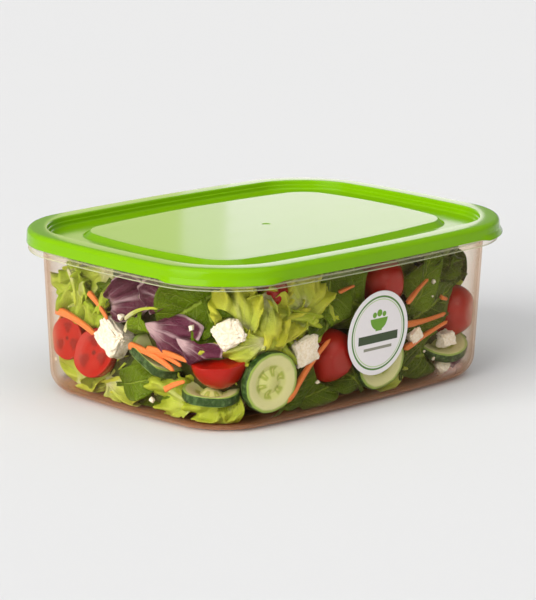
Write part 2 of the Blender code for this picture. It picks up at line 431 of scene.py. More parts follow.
@dataclass(frozen=True)
class Plan:
    """Round-cornered rectangle with bowed sides, seen from above."""

    length: float
    width: float
    corner_radius: float
    bow: float
    corner_steps: int = 22
    long_steps: int = 36
    short_steps: int = 26

    @property
    def half(self) -> Array:
        """Half length and half width of the straight-sided rectangle under the bow."""
        return np.array([self.length, self.width]) / 2 - self.bow

    def samples(self) -> tuple[Array, Array, Array]:
        """Places round the outline.

        Returns:
            The share of the corner centre and the outward normal at each place, and the place's corner
            number plus its share of that corner's quarter turn, or -1 on a side.
        """
        signs = np.array([(1, 1), (-1, 1), (-1, -1), (1, -1)], float)
        shares, normals, corner = [], [], []
        for number, steps in enumerate((self.long_steps, self.short_steps) * 2):
            along = np.linspace(0.0, 1.0, self.corner_steps + 1)
            angle = np.pi / 2 * (number + along)
            shares.append(np.repeat(signs[number][None], len(angle), 0))
            normals.append(np.stack([np.cos(angle), np.sin(angle)], -1))
            corner.append(number + np.minimum(along, 0.999))
            side = np.linspace(0.0, 1.0, steps + 1)[1:-1, None]
            shares.append(signs[number] * (1 - side) + signs[(number + 1) % 4] * side)
            normals.append(np.repeat(normals[-1][-1:], len(side), 0))
            corner.append(np.full(len(side), -1.0))
        return np.concatenate(shares), np.concatenate(normals), np.concatenate(corner)

    def rings(self, inset: Array, z: Array, radius: Array | None = None, bow: Array | None = None) -> Array:
        """Rings of points round the outline.

        A point is share * (half - inset - radius) + normal * radius, and then each coordinate grows by
        bow / half * (1 - (other / other half)^2).

        Args:
            inset: Distance inside the outline, one row to a ring, with one column or one for each place.
            z: Height, of the same shape.
            radius: Corner radius for each ring; concentric with the outline's if left out.
            bow: Bow of the sides for each ring.

        Returns:
            Points in rows (rings) and columns (places).
        """
        share, normal, _ = self.samples()
        inset = np.broadcast_to(inset, (len(inset), len(share)))[..., None]
        radius = self.corner_radius - inset if radius is None else radius[:, None, None] + 0 * inset
        bow = np.full_like(inset, self.bow) if bow is None else bow[:, None, None] + 0 * inset
        half = self.half - inset
        straight = share * (half - radius) + normal * radius
        out = 1.0 + bow / half * (1.0 - (straight / half)[..., ::-1] ** 2)
        plan = straight * out
        return np.concatenate([plan, np.broadcast_to(z[..., None], (*plan.shape[:2], 1))], -1)

    def capped(self, rings: Array, first: Array, last: Array) -> Array:
        """Rings closed at both ends by copies shrunk towards the middle.

        Args:
            rings: Points in rows and columns.
            first: Growing shrink factors from 0 for the first ring's copies.
            last: Falling shrink factors to 0 for the last ring's copies.

        Returns:
            All rings from middle to middle.
        """
        across = np.array([1.0, 1.0, 0.0])
        start = rings[0] * (first[:, None, None] * across + (1 - across))
        end = rings[-1] * (last[:, None, None] * across + (1 - across))
        return np.concatenate([start, rings, end])


# ---- Finishes ----


@dataclass(frozen=True)
class ClearPlastic:
    """Clear plastic that mirrors at a grazing angle; edge on and where it turns under the base it is warm and
    milky, partly its own haze and partly a painted reflection of warm surroundings; the band under the lid
    carries a painted reflection and a painted highlight line at its lower edge.
    """

    tint: Colour = srgb(253, 250, 246)
    # Warm haze edge on: partly the plastic's own colour through its length, partly a painted reflection of
    # warm surroundings.
    haze_and_edge_reflection: Colour = srgb(212, 160, 116)
    # Brown near the base: partly the plastic turning under the base, partly a painted reflection of warm
    # surroundings.
    base_haze_and_reflection: Colour = srgb(196, 122, 64)
    # The band's pale green haze is a painted reflection.
    band_painted_reflection: Colour = srgb(222, 230, 188)
    # The mirror's warm tint is a painted colour of warm surroundings in the reflection.
    warm_reflection_tint: Colour = srgb(232, 200, 170)
    facing_mirror: float = 0.0035
    band_low: float = 0.0792
    band_high: float = 0.0836
    fade: float = 0.0003
    base_milk_and_reflection: float = 0.62
    band_reflection_share: float = 0.04
    # The bright thin line at the band's lower edge is a painted highlight.
    lip_highlight_share: float = 0.45
    speck_milk: float = 0.012
    edge_haze_and_reflection: float = 0.5

    def build(self) -> bpy.types.Material:
        """Nodes of the finish.

        Returns:
            The material.
        """
        g = Graph("clear_plastic")
        _, _, height = g.split(g.place())
        clear = g.node("ShaderNodeBsdfTransparent", None, {"Color": self.tint})
        flow = g.noise(g.place(), 9.0, 3.0, 0.45)
        relief = g.bump(flow, 0.0016, 0.35)
        # The mirror is tinted warm: a painted reflection colour.
        shine = {"Color": self.warm_reflection_tint, "Roughness": 0.06, "Normal": relief}
        mirror = g.node("ShaderNodeBsdfAnisotropic", {"distribution": "GGX"}, shine)
        facing = g.node("ShaderNodeLayerWeight", None, {"Blend": 0.5}, "Facing")
        fresnel = self.facing_mirror + (1.0 - self.facing_mirror) * facing ** 5.0
        thin = g.mixed(fresnel, clear, mirror)
        # Near the base the milky layer is painted brown, partly as a painted reflection.
        near_base = 1.0 - height.ramp(0.0008, 0.0052)
        low, high, fade = self.band_low, self.band_high, self.fade
        # The band under the lid; its milky share is a painted reflection.
        band = height.between(low, low + fade, high - fade, high)
        # Painted highlight line along the band's lower edge.
        lip = band * (1.0 - height.ramp(low + 0.0006, low + 0.0010))
        specks = g.noise(g.place(), 900.0, 2.0).ramp(0.66, 0.78)
        # Milky share: the random specks are the plastic's own; the band and its lip are painted reflection
        # and painted highlight; edge on and near the base it is partly painted reflection.
        haze_and_painted_light_share = 0.001 + self.base_milk_and_reflection * near_base + self.band_reflection_share * band + self.lip_highlight_share * lip
        haze_and_painted_light_share = haze_and_painted_light_share + self.speck_milk * specks + self.edge_haze_and_reflection * facing ** 5.0
        # Colours of the milky layer: painted reflection on the band, warm painted reflection edge on and
        # brown near the base.
        colour = g.blend(near_base, g.blend(band, self.haze_and_edge_reflection, self.band_painted_reflection), self.base_haze_and_reflection)
        milk_and_painted_light = g.principled(colour, 0.25, {"IOR": 1.49})
        return g.finish(g.mixed(haze_and_painted_light_share.smaller(1.0), thin, milk_and_painted_light))


@dataclass(frozen=True)
class LidPlastic:
    """Glossy opaque green polyethylene with the faint flow of a moulding."""

    light: Colour = srgb(119, 169, 4)
    dark: Colour = srgb(111, 163, 0)
    roughness: float = 0.15
    specular: float = 0.14

    def build(self) -> bpy.types.Material:
        """Nodes of the finish.

        Returns:
            The material.
        """
        g = Graph("lid_plastic")
        place = g.place()
        cloud = g.noise(place, 14.0, 3.0)
        colour = g.blend(cloud, self.dark, self.light)
        grain = g.noise(place, 1500.0, 2.0)
        scuff = g.noise(place, 60.0, 4.0, 0.6).ramp(0.5, 0.75)
        roughness = self.roughness + 0.05 * scuff + 0.03 * (grain - 0.5)
        relief = g.bump(g.noise(place, 7.0, 1.0) + 0.006 * grain, 0.0007, 0.2)
        others = {"IOR": 1.52, "Specular IOR Level": self.specular, "Normal": relief}
        return g.finish(g.principled(colour, roughness, others))


# ---- Mouldings ----


def outline_from_frame() -> Plan:
    """Plan of the lid's outline, sized by the lid of the frame."""
    low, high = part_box("lid")
    return Plan(length=high[0] - low[0], width=high[1] - low[1], corner_radius=0.0439, bow=0.0054)


@dataclass
class Tub:
    """Thin-walled clear tub with a turned-down rim."""

    plan: Plan
    wall: float = 0.0012
    inset_top: float = 0.0090
    inset_base: float = 0.0130
    base_fillet: float = 0.0180
    ring_width: float = 0.0055
    recess: float = 0.0008
    band_height: float = 0.0038
    band_inset: float = 0.00095
    rim_face_inset: float = 0.0021
    bead: float = 0.00025
    bead_below_top: float = 0.0029
    band_top: float = 0.0834

    @property
    def rim_top(self) -> float:
        """Height of the rim."""
        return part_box("tub")[1][2]

    def wall_inset(self, z: Array | float) -> Array | float:
        """Inset of the outer wall at a height; it narrows in a straight line towards the base."""
        band_bottom = self.band_top - self.band_height
        return self.inset_base + (self.inset_top - self.inset_base) * z / band_bottom

    def outer_y(self, x: Array, z: Array) -> Array:
        """Y of the front wall's outer face: -(half width + bow * (1 - (x / half length)^2)).

        Args:
            x, z: Places on the wall.

        Returns:
            Y at each place.
        """
        half_x = self.plan.half[0] - self.wall_inset(z)
        half_y = self.plan.half[1] - self.wall_inset(z)
        return -(half_y + self.plan.bow * (1.0 - (x / half_x) ** 2))

    def profile(self) -> Array:
        """Inset and height from the base's middle, up the outside, over the rim and down the inside.

        Returns:
            The profile's points, two columns.
        """
        top, wall = self.rim_top, self.wall
        under = top - wall
        band_bottom = self.band_top - self.band_height
        skirt = self.rim_face_inset + wall
        bead = top - self.bead_below_top
        ring = self.wall_inset(0.0) + self.base_fillet + self.ring_width
        rows = [
            (ring + 0.0040, self.recess, 0.0),
            (ring + 0.0012, self.recess, 0.0010),
            (ring, 0.0, 0.0010),
            (self.wall_inset(0.0), 0.0, self.base_fillet),
            (self.wall_inset(under), under, 0.0009),
            (skirt, under, 0.0007),
            (skirt, self.band_top - wall, 0.0006),
            (self.band_inset + wall, self.band_top - wall, 0.0005),
            (self.band_inset + wall, band_bottom, 0.0005),
            (self.band_inset, band_bottom, 0.0006),
            (self.band_inset, self.band_top, 0.0004),
            (self.rim_face_inset, self.band_top, 0.0005),
            (self.rim_face_inset, bead - 0.0009, 0.0006),
            (self.rim_face_inset - self.bead, bead, 0.0008),
            (self.rim_face_inset, bead + 0.0009, 0.0006),
            (self.rim_face_inset, top, 0.0009),
            (self.wall_inset(top) + wall, top, 0.0009),
            (self.wall_inset(0.0) + wall, wall, self.base_fillet - wall),
            (ring, wall, 0.0010),
            (ring + 0.0012, wall + self.recess, 0.0010),
            (ring + 0.0040, wall + self.recess, 0.0),
        ]
        table = np.array(rows)
        return rounded(table[:, :2], table[:, 2], 9)

    def build(self) -> bpy.types.Object:
        """Mesh of the tub, dressed.

        Returns:
            The tub.
        """
        profile = self.profile()
        rings = self.plan.rings(profile[:, :1], profile[:, 1:])
        shrink = np.linspace(0.0, 1.0, 10)[:-1]
        grid = self.plan.capped(rings, shrink, shrink[::-1])
        skin = Skin.body(grid, grid[..., :2])
        made = skin.piece("tub_wall", ClearPlastic().build(), "clear_plastic", "tub")
        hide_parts("tub")
        return made


@dataclass
class Lid:
    """Snap lid: skirt with two pull lips, rounded rim, stepped plug, trough and raised panel."""

    plan: Plan
    tub: Tub
    wall: float = 0.0012
    skirt_height: float = 0.0080
    draft: float = 0.0004
    rim_round: float = 0.0028
    plug_gap: float = 0.0005
    plug_step: float = 0.0004
    trough_depth: float = 0.0053
    panel_drop: float = 0.0025
    panel_inset: float = 0.0332
    panel_slope: float = 0.0034
    panel_radius: float = 0.0135
    panel_bow: float = 0.0065
    lip_out: float = 0.0017
    lip_drop: float = 0.0009
    gate_radius: float = 0.0025
    gate_depth: float = 0.00035

    def profile(self) -> Array:
        """Section from the panel, over the rim, and back underneath.

        Returns:
            Inset, height, lip share and panel share of each point, four columns.
        """
        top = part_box("lid")[1][2]
        bottom = top - self.skirt_height
        trough = top - self.trough_depth
        panel = top - self.panel_drop
        step = (top + trough) / 2
        wall, draft = self.wall, self.draft
        face = self.tub.wall + self.plug_gap
        plug_top = self.tub.wall_inset(top) + face + wall
        plug_low = self.tub.wall_inset(trough) + face + wall + self.plug_step
        foot = self.panel_inset - self.panel_slope
        bead = bottom + 0.0018
        rows = [
            (self.panel_inset + 0.006, panel, 0.0, 1.0, 0.0),
            (self.panel_inset, panel, 0.0, 1.0, 0.0011),
            (foot, trough, 0.0, 1.0, 0.0016),
            (foot - 0.004, trough, 0.0, 0.5, 0.0),
            (plug_low, trough, 0.0, 0.0, 0.0016),
            (plug_low - self.plug_step / 4, step - self.plug_step / 4, 0.0, 0.0, 0.0004),
            (plug_top, step + self.plug_step / 4, 0.0, 0.0, 0.0004),
            (plug_top - 0.0001, top, 0.0, 0.0, 0.0009),
            (draft, top, 0.0, 0.0, self.rim_round),
            (draft / 4, bead + 0.0006, 0.1, 0.0, 0.002),
            (0.0, bottom + 0.0003, 1.0, 0.0, 0.0005),
            (0.0002, bottom, 1.0, 0.0, 0.0004),
            (wall - 0.0002, bottom, 1.0, 0.0, 0.0004),
            (wall, bead - 0.0008, 0.4, 0.0, 0.0005),
            (wall + self.tub.bead, bead, 0.2, 0.0, 0.0006),
            (wall + draft / 4, bead + 0.0008, 0.1, 0.0, 0.0005),
            (wall + draft, top - wall, 0.0, 0.0, 0.0008),
            (self.tub.wall_inset(top - wall) + face, top - wall, 0.0, 0.0, 0.0008),
            (self.tub.wall_inset(trough - wall) + face, trough - wall, 0.0, 0.0, 0.0010),
            (foot - 0.0035, trough - wall, 0.0, 0.5, 0.0),
            (foot + wall / 2, trough - wall, 0.0, 1.0, 0.0011),
            (self.panel_inset + wall / 2, panel - wall, 0.0, 1.0, 0.0016),
            (self.panel_inset + 0.006, panel - wall, 0.0, 1.0, 0.0),
        ]
        table = np.array(rows)
        steps = 8
        line = rounded(table[:, :2], table[:, 4], steps)
        shares = np.repeat(table[1:-1, 2:4], steps, axis=0)
        shares = np.concatenate([table[:1, 2:4], shares, table[-1:, 2:4]])
        return np.concatenate([line, shares], 1)

    def lip_weights(self) -> Array:
        """1 round the two corners of the labelled side, easing to 0 just past their ends.

        Returns:
            The weight at each place of the outline.
        """
        _, _, corner = self.plan.samples()
        along = corner % 1.0
        ease = smoothstep(0.0, 0.10, along) * (1.0 - smoothstep(0.86, 1.0, along))
        return np.where(corner >= 2.0, ease, 0.0)

    def rings(self) -> Array:
        """Rings of the lid's points: plain ones follow the outline, the panel's its own corners and bow.

        Returns:
            Points in rows (rings) and columns (places).
        """
        inset, z, lip, panel = self.profile().T
        weight = self.lip_weights()[None]
        pushed = inset[:, None] - self.lip_out * lip[:, None] * weight
        lowered = z[:, None] - self.lip_drop * lip[:, None] * weight
        plain_radius = self.plan.corner_radius - inset
        panel_radius = self.panel_radius + self.panel_inset - inset
        radius = plain_radius + (panel_radius - plain_radius) * panel
        bow = self.plan.bow + (self.panel_bow - self.plan.bow) * panel
        normal = self.plan.samples()[1]
        rings = self.plan.rings(inset[:, None], lowered, radius, bow)
        rings[..., :2] += (inset[:, None] - pushed)[..., None] * normal[None]
        return rings

    def build(self) -> bpy.types.Object:
        """Mesh of the lid, dressed.

        Returns:
            The lid.
        """
        shrink = np.concatenate([np.linspace(0.0, 0.07, 15), np.linspace(0.1, 0.95, 12)])
        grid = self.plan.capped(self.rings(), shrink, shrink[::-3])
        distance = np.linalg.norm(grid[..., :2], axis=-1)
        on_top = np.arange(len(grid))[:, None] < len(shrink)
        mark = self.gate_depth * (1.0 - smoothstep(self.gate_radius * 0.7, self.gate_radius, distance))
        grid[..., 2] -= np.where(on_top, mark, 0.0)
        skin = Skin.body(grid, grid[..., :2])
        made = skin.piece("lid_shell", LidPlastic().build(), "green_plastic", "lid")
        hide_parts("lid")
        return made


# ---- Label ----


@dataclass(frozen=True)
class PrintedFilm:
    """Satin white film with two green rings, a bowl mark and two bars, in millimetres from its middle."""

    paper: Colour = srgb(228, 222, 222)
    ring_green: Colour = srgb(70, 118, 22)
    pale_green: Colour = srgb(176, 196, 140)
    leaf_green: Colour = srgb(98, 148, 12)
    ink: Colour = srgb(44, 62, 22)
    grey: Colour = srgb(132, 130, 112)
    edge: float = 0.18

    def band(self, distance: Socket, low: float, high: float) -> Socket:
        """1 where the distance lies between two radii, with a printed edge."""
        return distance.between(low - self.edge, low, high, high + self.edge)

    def box(self, x: Socket, y: Socket, middle_y: float, half_x: float, half_y: float) -> Socket:
        """1 inside an upright bar."""
        inside_x = 1.0 - x.absolute().ramp(half_x - self.edge, half_x)
        return inside_x * (1.0 - (y - middle_y).absolute().ramp(half_y - self.edge, half_y))

    def build(self) -> bpy.types.Material:
        """Nodes of the finish.

        Returns:
            The material.
        """
        g = Graph("printed_film")
        x, y = g.pattern()
        distance = g.polar()[0]
        fibre = g.noise(g.place(), 700.0, 3.0)
        colour = g.blend(fibre, self.paper, srgb(222, 216, 216))
        colour = g.blend(self.band(distance, 19.8, 20.7), colour, self.ring_green)
        colour = g.blend(self.band(distance, 18.6, 19.0), colour, self.pale_green)
        bowl_distance = (x * x + (y - 8.4) ** 2.0) ** 0.5
        bowl = (1.0 - bowl_distance.ramp(6.6, 6.6 + self.edge)) * (1.0 - (y - 8.2).ramp(0.0, self.edge))
        foot = self.box(x, y, 1.7, 2.6, 0.5)
        colour = g.blend((bowl + foot).smaller(1.0), colour, self.leaf_green)
        for dot_x, dot_y, radius in ((-3.6, 10.4, 1.5), (0.2, 11.2, 1.9), (3.9, 10.3, 1.4)):
            dot = ((x - dot_x) ** 2.0 + (y - dot_y) ** 2.0) ** 0.5
            colour = g.blend(1.0 - dot.ramp(radius, radius + self.edge), colour, self.leaf_green)
        colour = g.blend(self.box(x, y, -2.8, 15.4, 2.5), colour, self.ink)
        colour = g.blend(self.box(x, y, -8.4, 11.0, 0.9), colour, self.grey)
        relief = g.bump(fibre, 0.00004, 0.3)
        return g.finish(g.principled(colour, 0.38 + 0.08 * fibre, {"IOR": 1.5, "Normal": relief}))


@dataclass
class Label:
    """Round sticker on the front wall."""

    tub: Tub
    thickness: float = 0.00022
    stand_off: float = 0.00005
    around: int = 128

    def build(self) -> bpy.types.Object:
        """Disc in polar steps laid on the wall: y = outer wall - stand-off - thickness * face.

        Returns:
            The label.
        """
        low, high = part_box("label")
        centre_x, centre_z = (low[0] + high[0]) / 2, (low[2] + high[2]) / 2
        radius = (high[0] - low[0]) / 2
        share = np.concatenate([np.linspace(0, 0.98, 18), [0.997, 1.0, 0.997], np.linspace(0.98, 0, 6)])
        face = np.concatenate([np.ones(18), [0.9, 0.5, 0.1], np.zeros(6)])
        angle = circle(self.around)
        x = centre_x + radius * share[:, None] * np.cos(angle)
        z = centre_z + radius * share[:, None] * np.sin(angle)
        y = self.tub.outer_y(x, z) - self.stand_off - self.thickness * face[:, None]
        pattern = stacked(x - centre_x, z - centre_z) * 1000.0
        skin = Skin.body(stacked(x, y, z), pattern)
        made = skin.piece("label_film", PrintedFilm().build(), "printed_film", "tub")
        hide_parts("label")
        return made


# ---- Salad finishes ----


@dataclass(frozen=True)
class SpinachGreen:
    """Smooth dark leaf: paler midrib and side veins, raised flesh between them."""

    deep: Colour = srgb(42, 68, 4)
    fresh: Colour = srgb(116, 150, 12)
    vein: Colour = srgb(156, 184, 70)
    glow: Colour = srgb(110, 150, 20)
    side_veins: float = 6.5

    def build(self) -> bpy.types.Material:
        """Nodes of the finish.

        Returns:
            The material.
        """
        g = Graph("spinach_green")
        along, across = g.pattern()
        off = across.absolute()
        rib = 1.0 - off.ramp(0.02, 0.09)
        wave = ((along * self.side_veins - off * 1.7) * (2.0 * math.pi)).cosine()
        branch = wave.ramp(0.86, 1.0) * (1.0 - off.ramp(0.55, 1.0))
        veins = (rib + 0.55 * branch).smaller(1.0)
        net = g.cells(g.place(), 420.0, "DISTANCE_TO_EDGE").ramp(0.0, 0.12)
        cloud = g.noise(g.place(), 60.0, 3.0)
        shade = g.tone() * 0.8 + 1.1 * (cloud - 0.42)
        colour = g.blend(shade.larger(0.0).smaller(1.0), self.deep, self.fresh)
        colour = g.blend(0.12 * (1.0 - net), colour, self.vein)
        colour = g.blend(0.75 * veins, colour, self.vein)
        relief = g.bump(0.4 * net + 1.2 * (1.0 - veins) + 1.2 * cloud, 0.0012, 0.8)
        others = {"IOR": 1.42, "Specular IOR Level": 0.25, "Normal": relief}
        face = g.principled(colour, 0.24 + 0.14 * cloud, others)
        return g.finish(g.leaf(face, self.glow, relief, 0.12))


@dataclass(frozen=True)
class FrillColour:
    """Curled leaf: pale rib at its foot, changing to the edge's colour, with veins that fan out."""

    name: str
    foot: Colour
    middle: Colour
    edge: Colour
    other_edge: Colour
    vein: Colour
    vein_share: float
    glow: Colour
    fans: float = 6.0
    rim_share: float = 0.0
    glow_share: float = 0.22

    def build(self) -> bpy.types.Material:
        """Nodes of the finish.

        Returns:
            The material.
        """
        g = Graph(self.name)
        along, across = g.pattern()
        cloud = g.noise(g.place(), 90.0, 3.0)
        edge = g.blend(g.tone(), self.edge, self.other_edge)
        reach = along + 0.5 * (cloud - 0.5)
        colour = g.blend(reach.ramp(0.10, 0.45), self.foot, self.middle)
        colour = g.blend(reach.ramp(0.40, 0.95), colour, edge)
        fan = (across * (self.fans * math.pi) + 3.0 * cloud).cosine().ramp(0.88, 1.0)
        fan = fan * (1.0 - along.ramp(0.3, 0.8))
        rib = 1.0 - across.absolute().ramp(0.03, 0.13)
        veins = (fan * 0.7 + rib * (1.0 - along.ramp(0.5, 0.95))).smaller(1.0)
        net = g.cells(g.place(), 560.0, "DISTANCE_TO_EDGE").ramp(0.0, 0.10)
        rim = self.rim_share * (along + 0.06 * (cloud - 0.5)).ramp(0.93, 0.97)
        lined = (self.vein_share * (0.12 * (1.0 - net) + veins) + rim).smaller(1.0)
        colour = g.blend(lined, colour, self.vein)
        relief = g.bump(0.3 * net + veins + 1.2 * cloud, 0.0012, 0.7)
        others = {"IOR": 1.42, "Specular IOR Level": 0.3, "Normal": relief}
        face = g.principled(colour, 0.30 + 0.12 * cloud, others)
        return g.finish(g.leaf(face, self.glow, relief, self.glow_share))


LETTUCE = FrillColour("lettuce_green", srgb(238, 240, 196), srgb(206, 224, 96), srgb(148, 188, 36),
                      srgb(228, 232, 84), srgb(236, 242, 186), 0.32, srgb(208, 226, 60), glow_share=0.2)
RADICCHIO = FrillColour("radicchio_purple", srgb(206, 178, 190), srgb(98, 46, 70), srgb(70, 28, 48),
                        srgb(104, 40, 74), srgb(214, 190, 204), 0.5, srgb(150, 50, 90), 4.0, 0.7, 0.08)


@dataclass(frozen=True)
class TomatoRed:
    """Wet tomato: glossy skin outside a pattern radius of 1, paler cut flesh inside it."""

    skin: Colour = srgb(146, 8, 3)
    skin_light: Colour = srgb(176, 20, 8)
    flesh: Colour = srgb(172, 22, 8)
    seed_bed: Colour = srgb(124, 10, 4)
    core: Colour = srgb(112, 16, 8)

    def build(self) -> bpy.types.Material:
        """Nodes of the finish.

        Returns:
            The material.
        """
        g = Graph("tomato_red")
        radius, turn = g.polar()
        cloud = g.noise(g.place(), 120.0, 3.0)
        skin = g.blend(cloud, self.skin, self.skin_light)
        pocket = (turn * 3.0 + 2.0 * cloud).cosine().ramp(-0.2, 0.7)
        pocket = pocket * radius.between(0.18, 0.34, 0.66, 0.82)
        cut = g.blend(0.8 * pocket, self.flesh, self.seed_bed)
        cut = g.blend(1.0 - radius.ramp(0.05, 0.15), cut, self.core)
        colour = g.blend(radius.ramp(0.965, 1.0), cut, skin)
        fine = g.noise(g.place(), 900.0, 2.0)
        relief = g.bump(cloud + 0.15 * fine - 0.4 * pocket, 0.0005, 0.4)
        rough = 0.16 + 0.10 * cloud + 0.12 * (1.0 - radius.ramp(0.96, 1.0))
        others = {"IOR": 1.45, "Specular IOR Level": 0.45, "Normal": relief, "Subsurface Weight": 0.1,
                  "Subsurface Radius": (0.004, 0.001, 0.0005), "Subsurface Scale": 1.0}
        return g.finish(g.principled(colour, rough, others))


@dataclass(frozen=True)
class CucumberGreen:
    """Cucumber slice: streaked dark rind beyond a pattern radius of 1, pale flesh and seeds inside."""

    rind: Colour = srgb(30, 62, 20)
    rind_light: Colour = srgb(112, 146, 92)
    under_rind: Colour = srgb(150, 182, 84)
    flesh: Colour = srgb(216, 222, 166)
    inner: Colour = srgb(206, 216, 144)
    pod: Colour = srgb(150, 172, 52)
    seed: Colour = srgb(214, 216, 138)

    def build(self) -> bpy.types.Material:
        """Nodes of the finish.

        Returns:
            The material.
        """
        g = Graph("cucumber_green")
        radius, turn = g.polar()
        cloud = g.noise(g.place(), 180.0, 3.0)
        pods = (turn * 6.0 + 1.2 * (cloud - 0.5)).cosine().ramp(-0.45, 0.25)
        pods = pods * radius.between(0.17, 0.25, 0.50, 0.58)
        seeds = (turn * 18.0 + 2.0 * cloud).cosine().ramp(0.0, 0.7)
        seeds = seeds * pods * radius.between(0.27, 0.33, 0.43, 0.50)
        colour = g.blend(radius.ramp(0.52, 0.64), self.inner, self.flesh)
        colour = g.blend(0.75 * pods, colour, self.pod)
        colour = g.blend(0.7 * seeds, colour, self.seed)
        colour = g.blend(radius.ramp(0.84, 0.93), colour, self.under_rind)
        streak = g.noise(g.join(turn * 4.0, radius * 3.0, 0.0), 2.6, 4.0, 0.6).ramp(0.50, 0.72)
        mottle = g.noise(g.place(), 420.0, 3.0, 0.6).ramp(0.46, 0.70)
        rind = g.blend(0.4 * streak + 0.5 * mottle, self.rind, self.rind_light)
        colour = g.blend(radius.ramp(0.955, 0.985), colour, rind)
        colour = g.blend(0.12 * cloud, colour, srgb(255, 255, 230), "SOFT_LIGHT")
        relief = g.bump(cloud + 0.5 * seeds, 0.0004, 0.45)
        return g.finish(g.principled(colour, 0.22 + 0.16 * cloud, {"IOR": 1.4, "Normal": relief}))


@dataclass(frozen=True)
class FetaWhite:
    """Crumbly white cheese, matt, with a painted shade of darker cream in its hollows."""

    white: Colour = srgb(252, 250, 242)
    cream_and_painted_shade: Colour = srgb(238, 230, 210)

    def build(self) -> bpy.types.Material:
        """Nodes of the finish.

        Returns:
            The material.
        """
        g = Graph("feta_white")
        crumb = g.noise(g.place(), 650.0, 4.0, 0.6)
        pits = 1.0 - g.cells(g.place(), 520.0).ramp(0.0, 0.22)
        # Cream by random crumbs is the cheese's own tone; the hollows are pushed towards cream as painted
        # shade.
        colour = g.blend(crumb.ramp(0.35, 0.62) * (1.0 - 0.5 * pits), self.cream_and_painted_shade, self.white)
        relief = g.bump(crumb - 0.5 * pits, 0.0006, 0.7)
        return g.finish(g.principled(colour, 0.62 + 0.2 * crumb, {"Normal": relief}))


@dataclass(frozen=True)
class CarrotOrange:
    """Cut carrot: orange with a lengthwise grain."""

    orange: Colour = srgb(220, 98, 28)
    pale: Colour = srgb(240, 156, 92)

    def build(self) -> bpy.types.Material:
        """Nodes of the finish.

        Returns:
            The material.
        """
        g = Graph("carrot_orange")
        along, around = g.pattern()
        grain = g.noise(g.join(along * 3.0, around * 14.0, g.tone() * 20.0), 3.0, 3.0)
        colour = g.blend(grain, self.orange, self.pale)
        relief = g.bump(grain, 0.0003, 0.5)
        return g.finish(g.principled(colour, 0.30 + 0.2 * grain, {"IOR": 1.4, "Normal": relief}))


@dataclass(frozen=True)
class ShadedHeart:
    """Tangle of leaves in the middle of the salad, painted dark as painted shade, with brown patches of
    painted shadow.
    """

    # All three colours are painted: dark and green as painted shade inside the salad, brown as painted
    # shadow.
    dark: Colour = srgb(30, 34, 10)
    green: Colour = srgb(70, 96, 24)
    painted_brown_shadow: Colour = srgb(66, 40, 22)

    def build(self) -> bpy.types.Material:
        """Nodes of the finish.

        Returns:
            The material.
        """
        g = Graph("salad_heart_painted_shade")
        patch = g.cells(g.place(), 75.0).ramp(0.1, 0.8)
        cloud = g.noise(g.place(), 45.0, 4.0, 0.6)
        # Painted shade, with patches of painted brown shadow.
        colour = g.blend(cloud.ramp(0.35, 0.65), self.dark, self.green)
        colour = g.blend(patch * 0.5, colour, self.painted_brown_shadow)
        relief = g.bump(patch + cloud, 0.003, 0.8)
        return g.finish(g.principled(colour, 0.5 + 0.2 * cloud, {"Normal": relief}))


# ---- Salad shapes ----


def lumps(points: Array, wave: float, seed: int, count: int = 9) -> Array:
    """Smooth uneven field: 1.8 times the mean of sine waves of one length in random directions.

    Args:
        points: Places in the last axis.
        wave: Length of the waves.
        seed: Start of the random draws.
        count: How many waves.

    Returns:
        The field at each place, mostly between -1 and 1.
    """
    draw = np.random.default_rng(seed)
    heading = draw.normal(size=(count, 3))
    heading *= 2 * np.pi / wave / np.linalg.norm(heading, axis=1, keepdims=True)
    return np.sin(points @ heading.T + draw.uniform(0, 2 * np.pi, count)).mean(-1) * 1.8


@dataclass(frozen=True)
class Spot:
    """Where a thing lies, in millimetres and degrees: its middle, the way it faces and its twist."""

    x: float
    y: float
    z: float
    azimuth: float
    elevation: float = 0.0
    twist: float = 0.0
    size: float = 1.0
    tone: float = 0.5

    def turn(self) -> Matrix:
        """Rotation whose Z faces the azimuth and elevation, and whose Y points up before the twist.

        Returns:
            The rotation, 3 by 3.
        """
        normal = toward(self.azimuth, self.elevation)
        heading = math.radians(self.azimuth)
        right = Vector((math.cos(heading), math.sin(heading), 0.0))
        facing = Matrix((right, normal.cross(right), normal)).transposed()
        return facing @ Matrix.Rotation(math.radians(self.twist), 3, "Z")

    def place(self) -> Array:
        """The spot's middle, in metres."""
        return np.array([self.x, self.y, self.z]) / 1000.0

    def put(self, skin: Skin) -> Skin:
        """The skin at this spot."""
        return skin.moved(self.turn(), Vector((self.x, self.y, self.z)) / 1000.0)

    def grow(self, shape: "Shape") -> Skin:
        """The shape at this spot, in the spot's tone."""
        return self.put(shape.skin(self.tone))


class Shape(Protocol):
    """Anything that can be laid in the tub."""

    def skin(self, tone: float) -> Skin:
        """Its skin round the origin, with this shade number."""


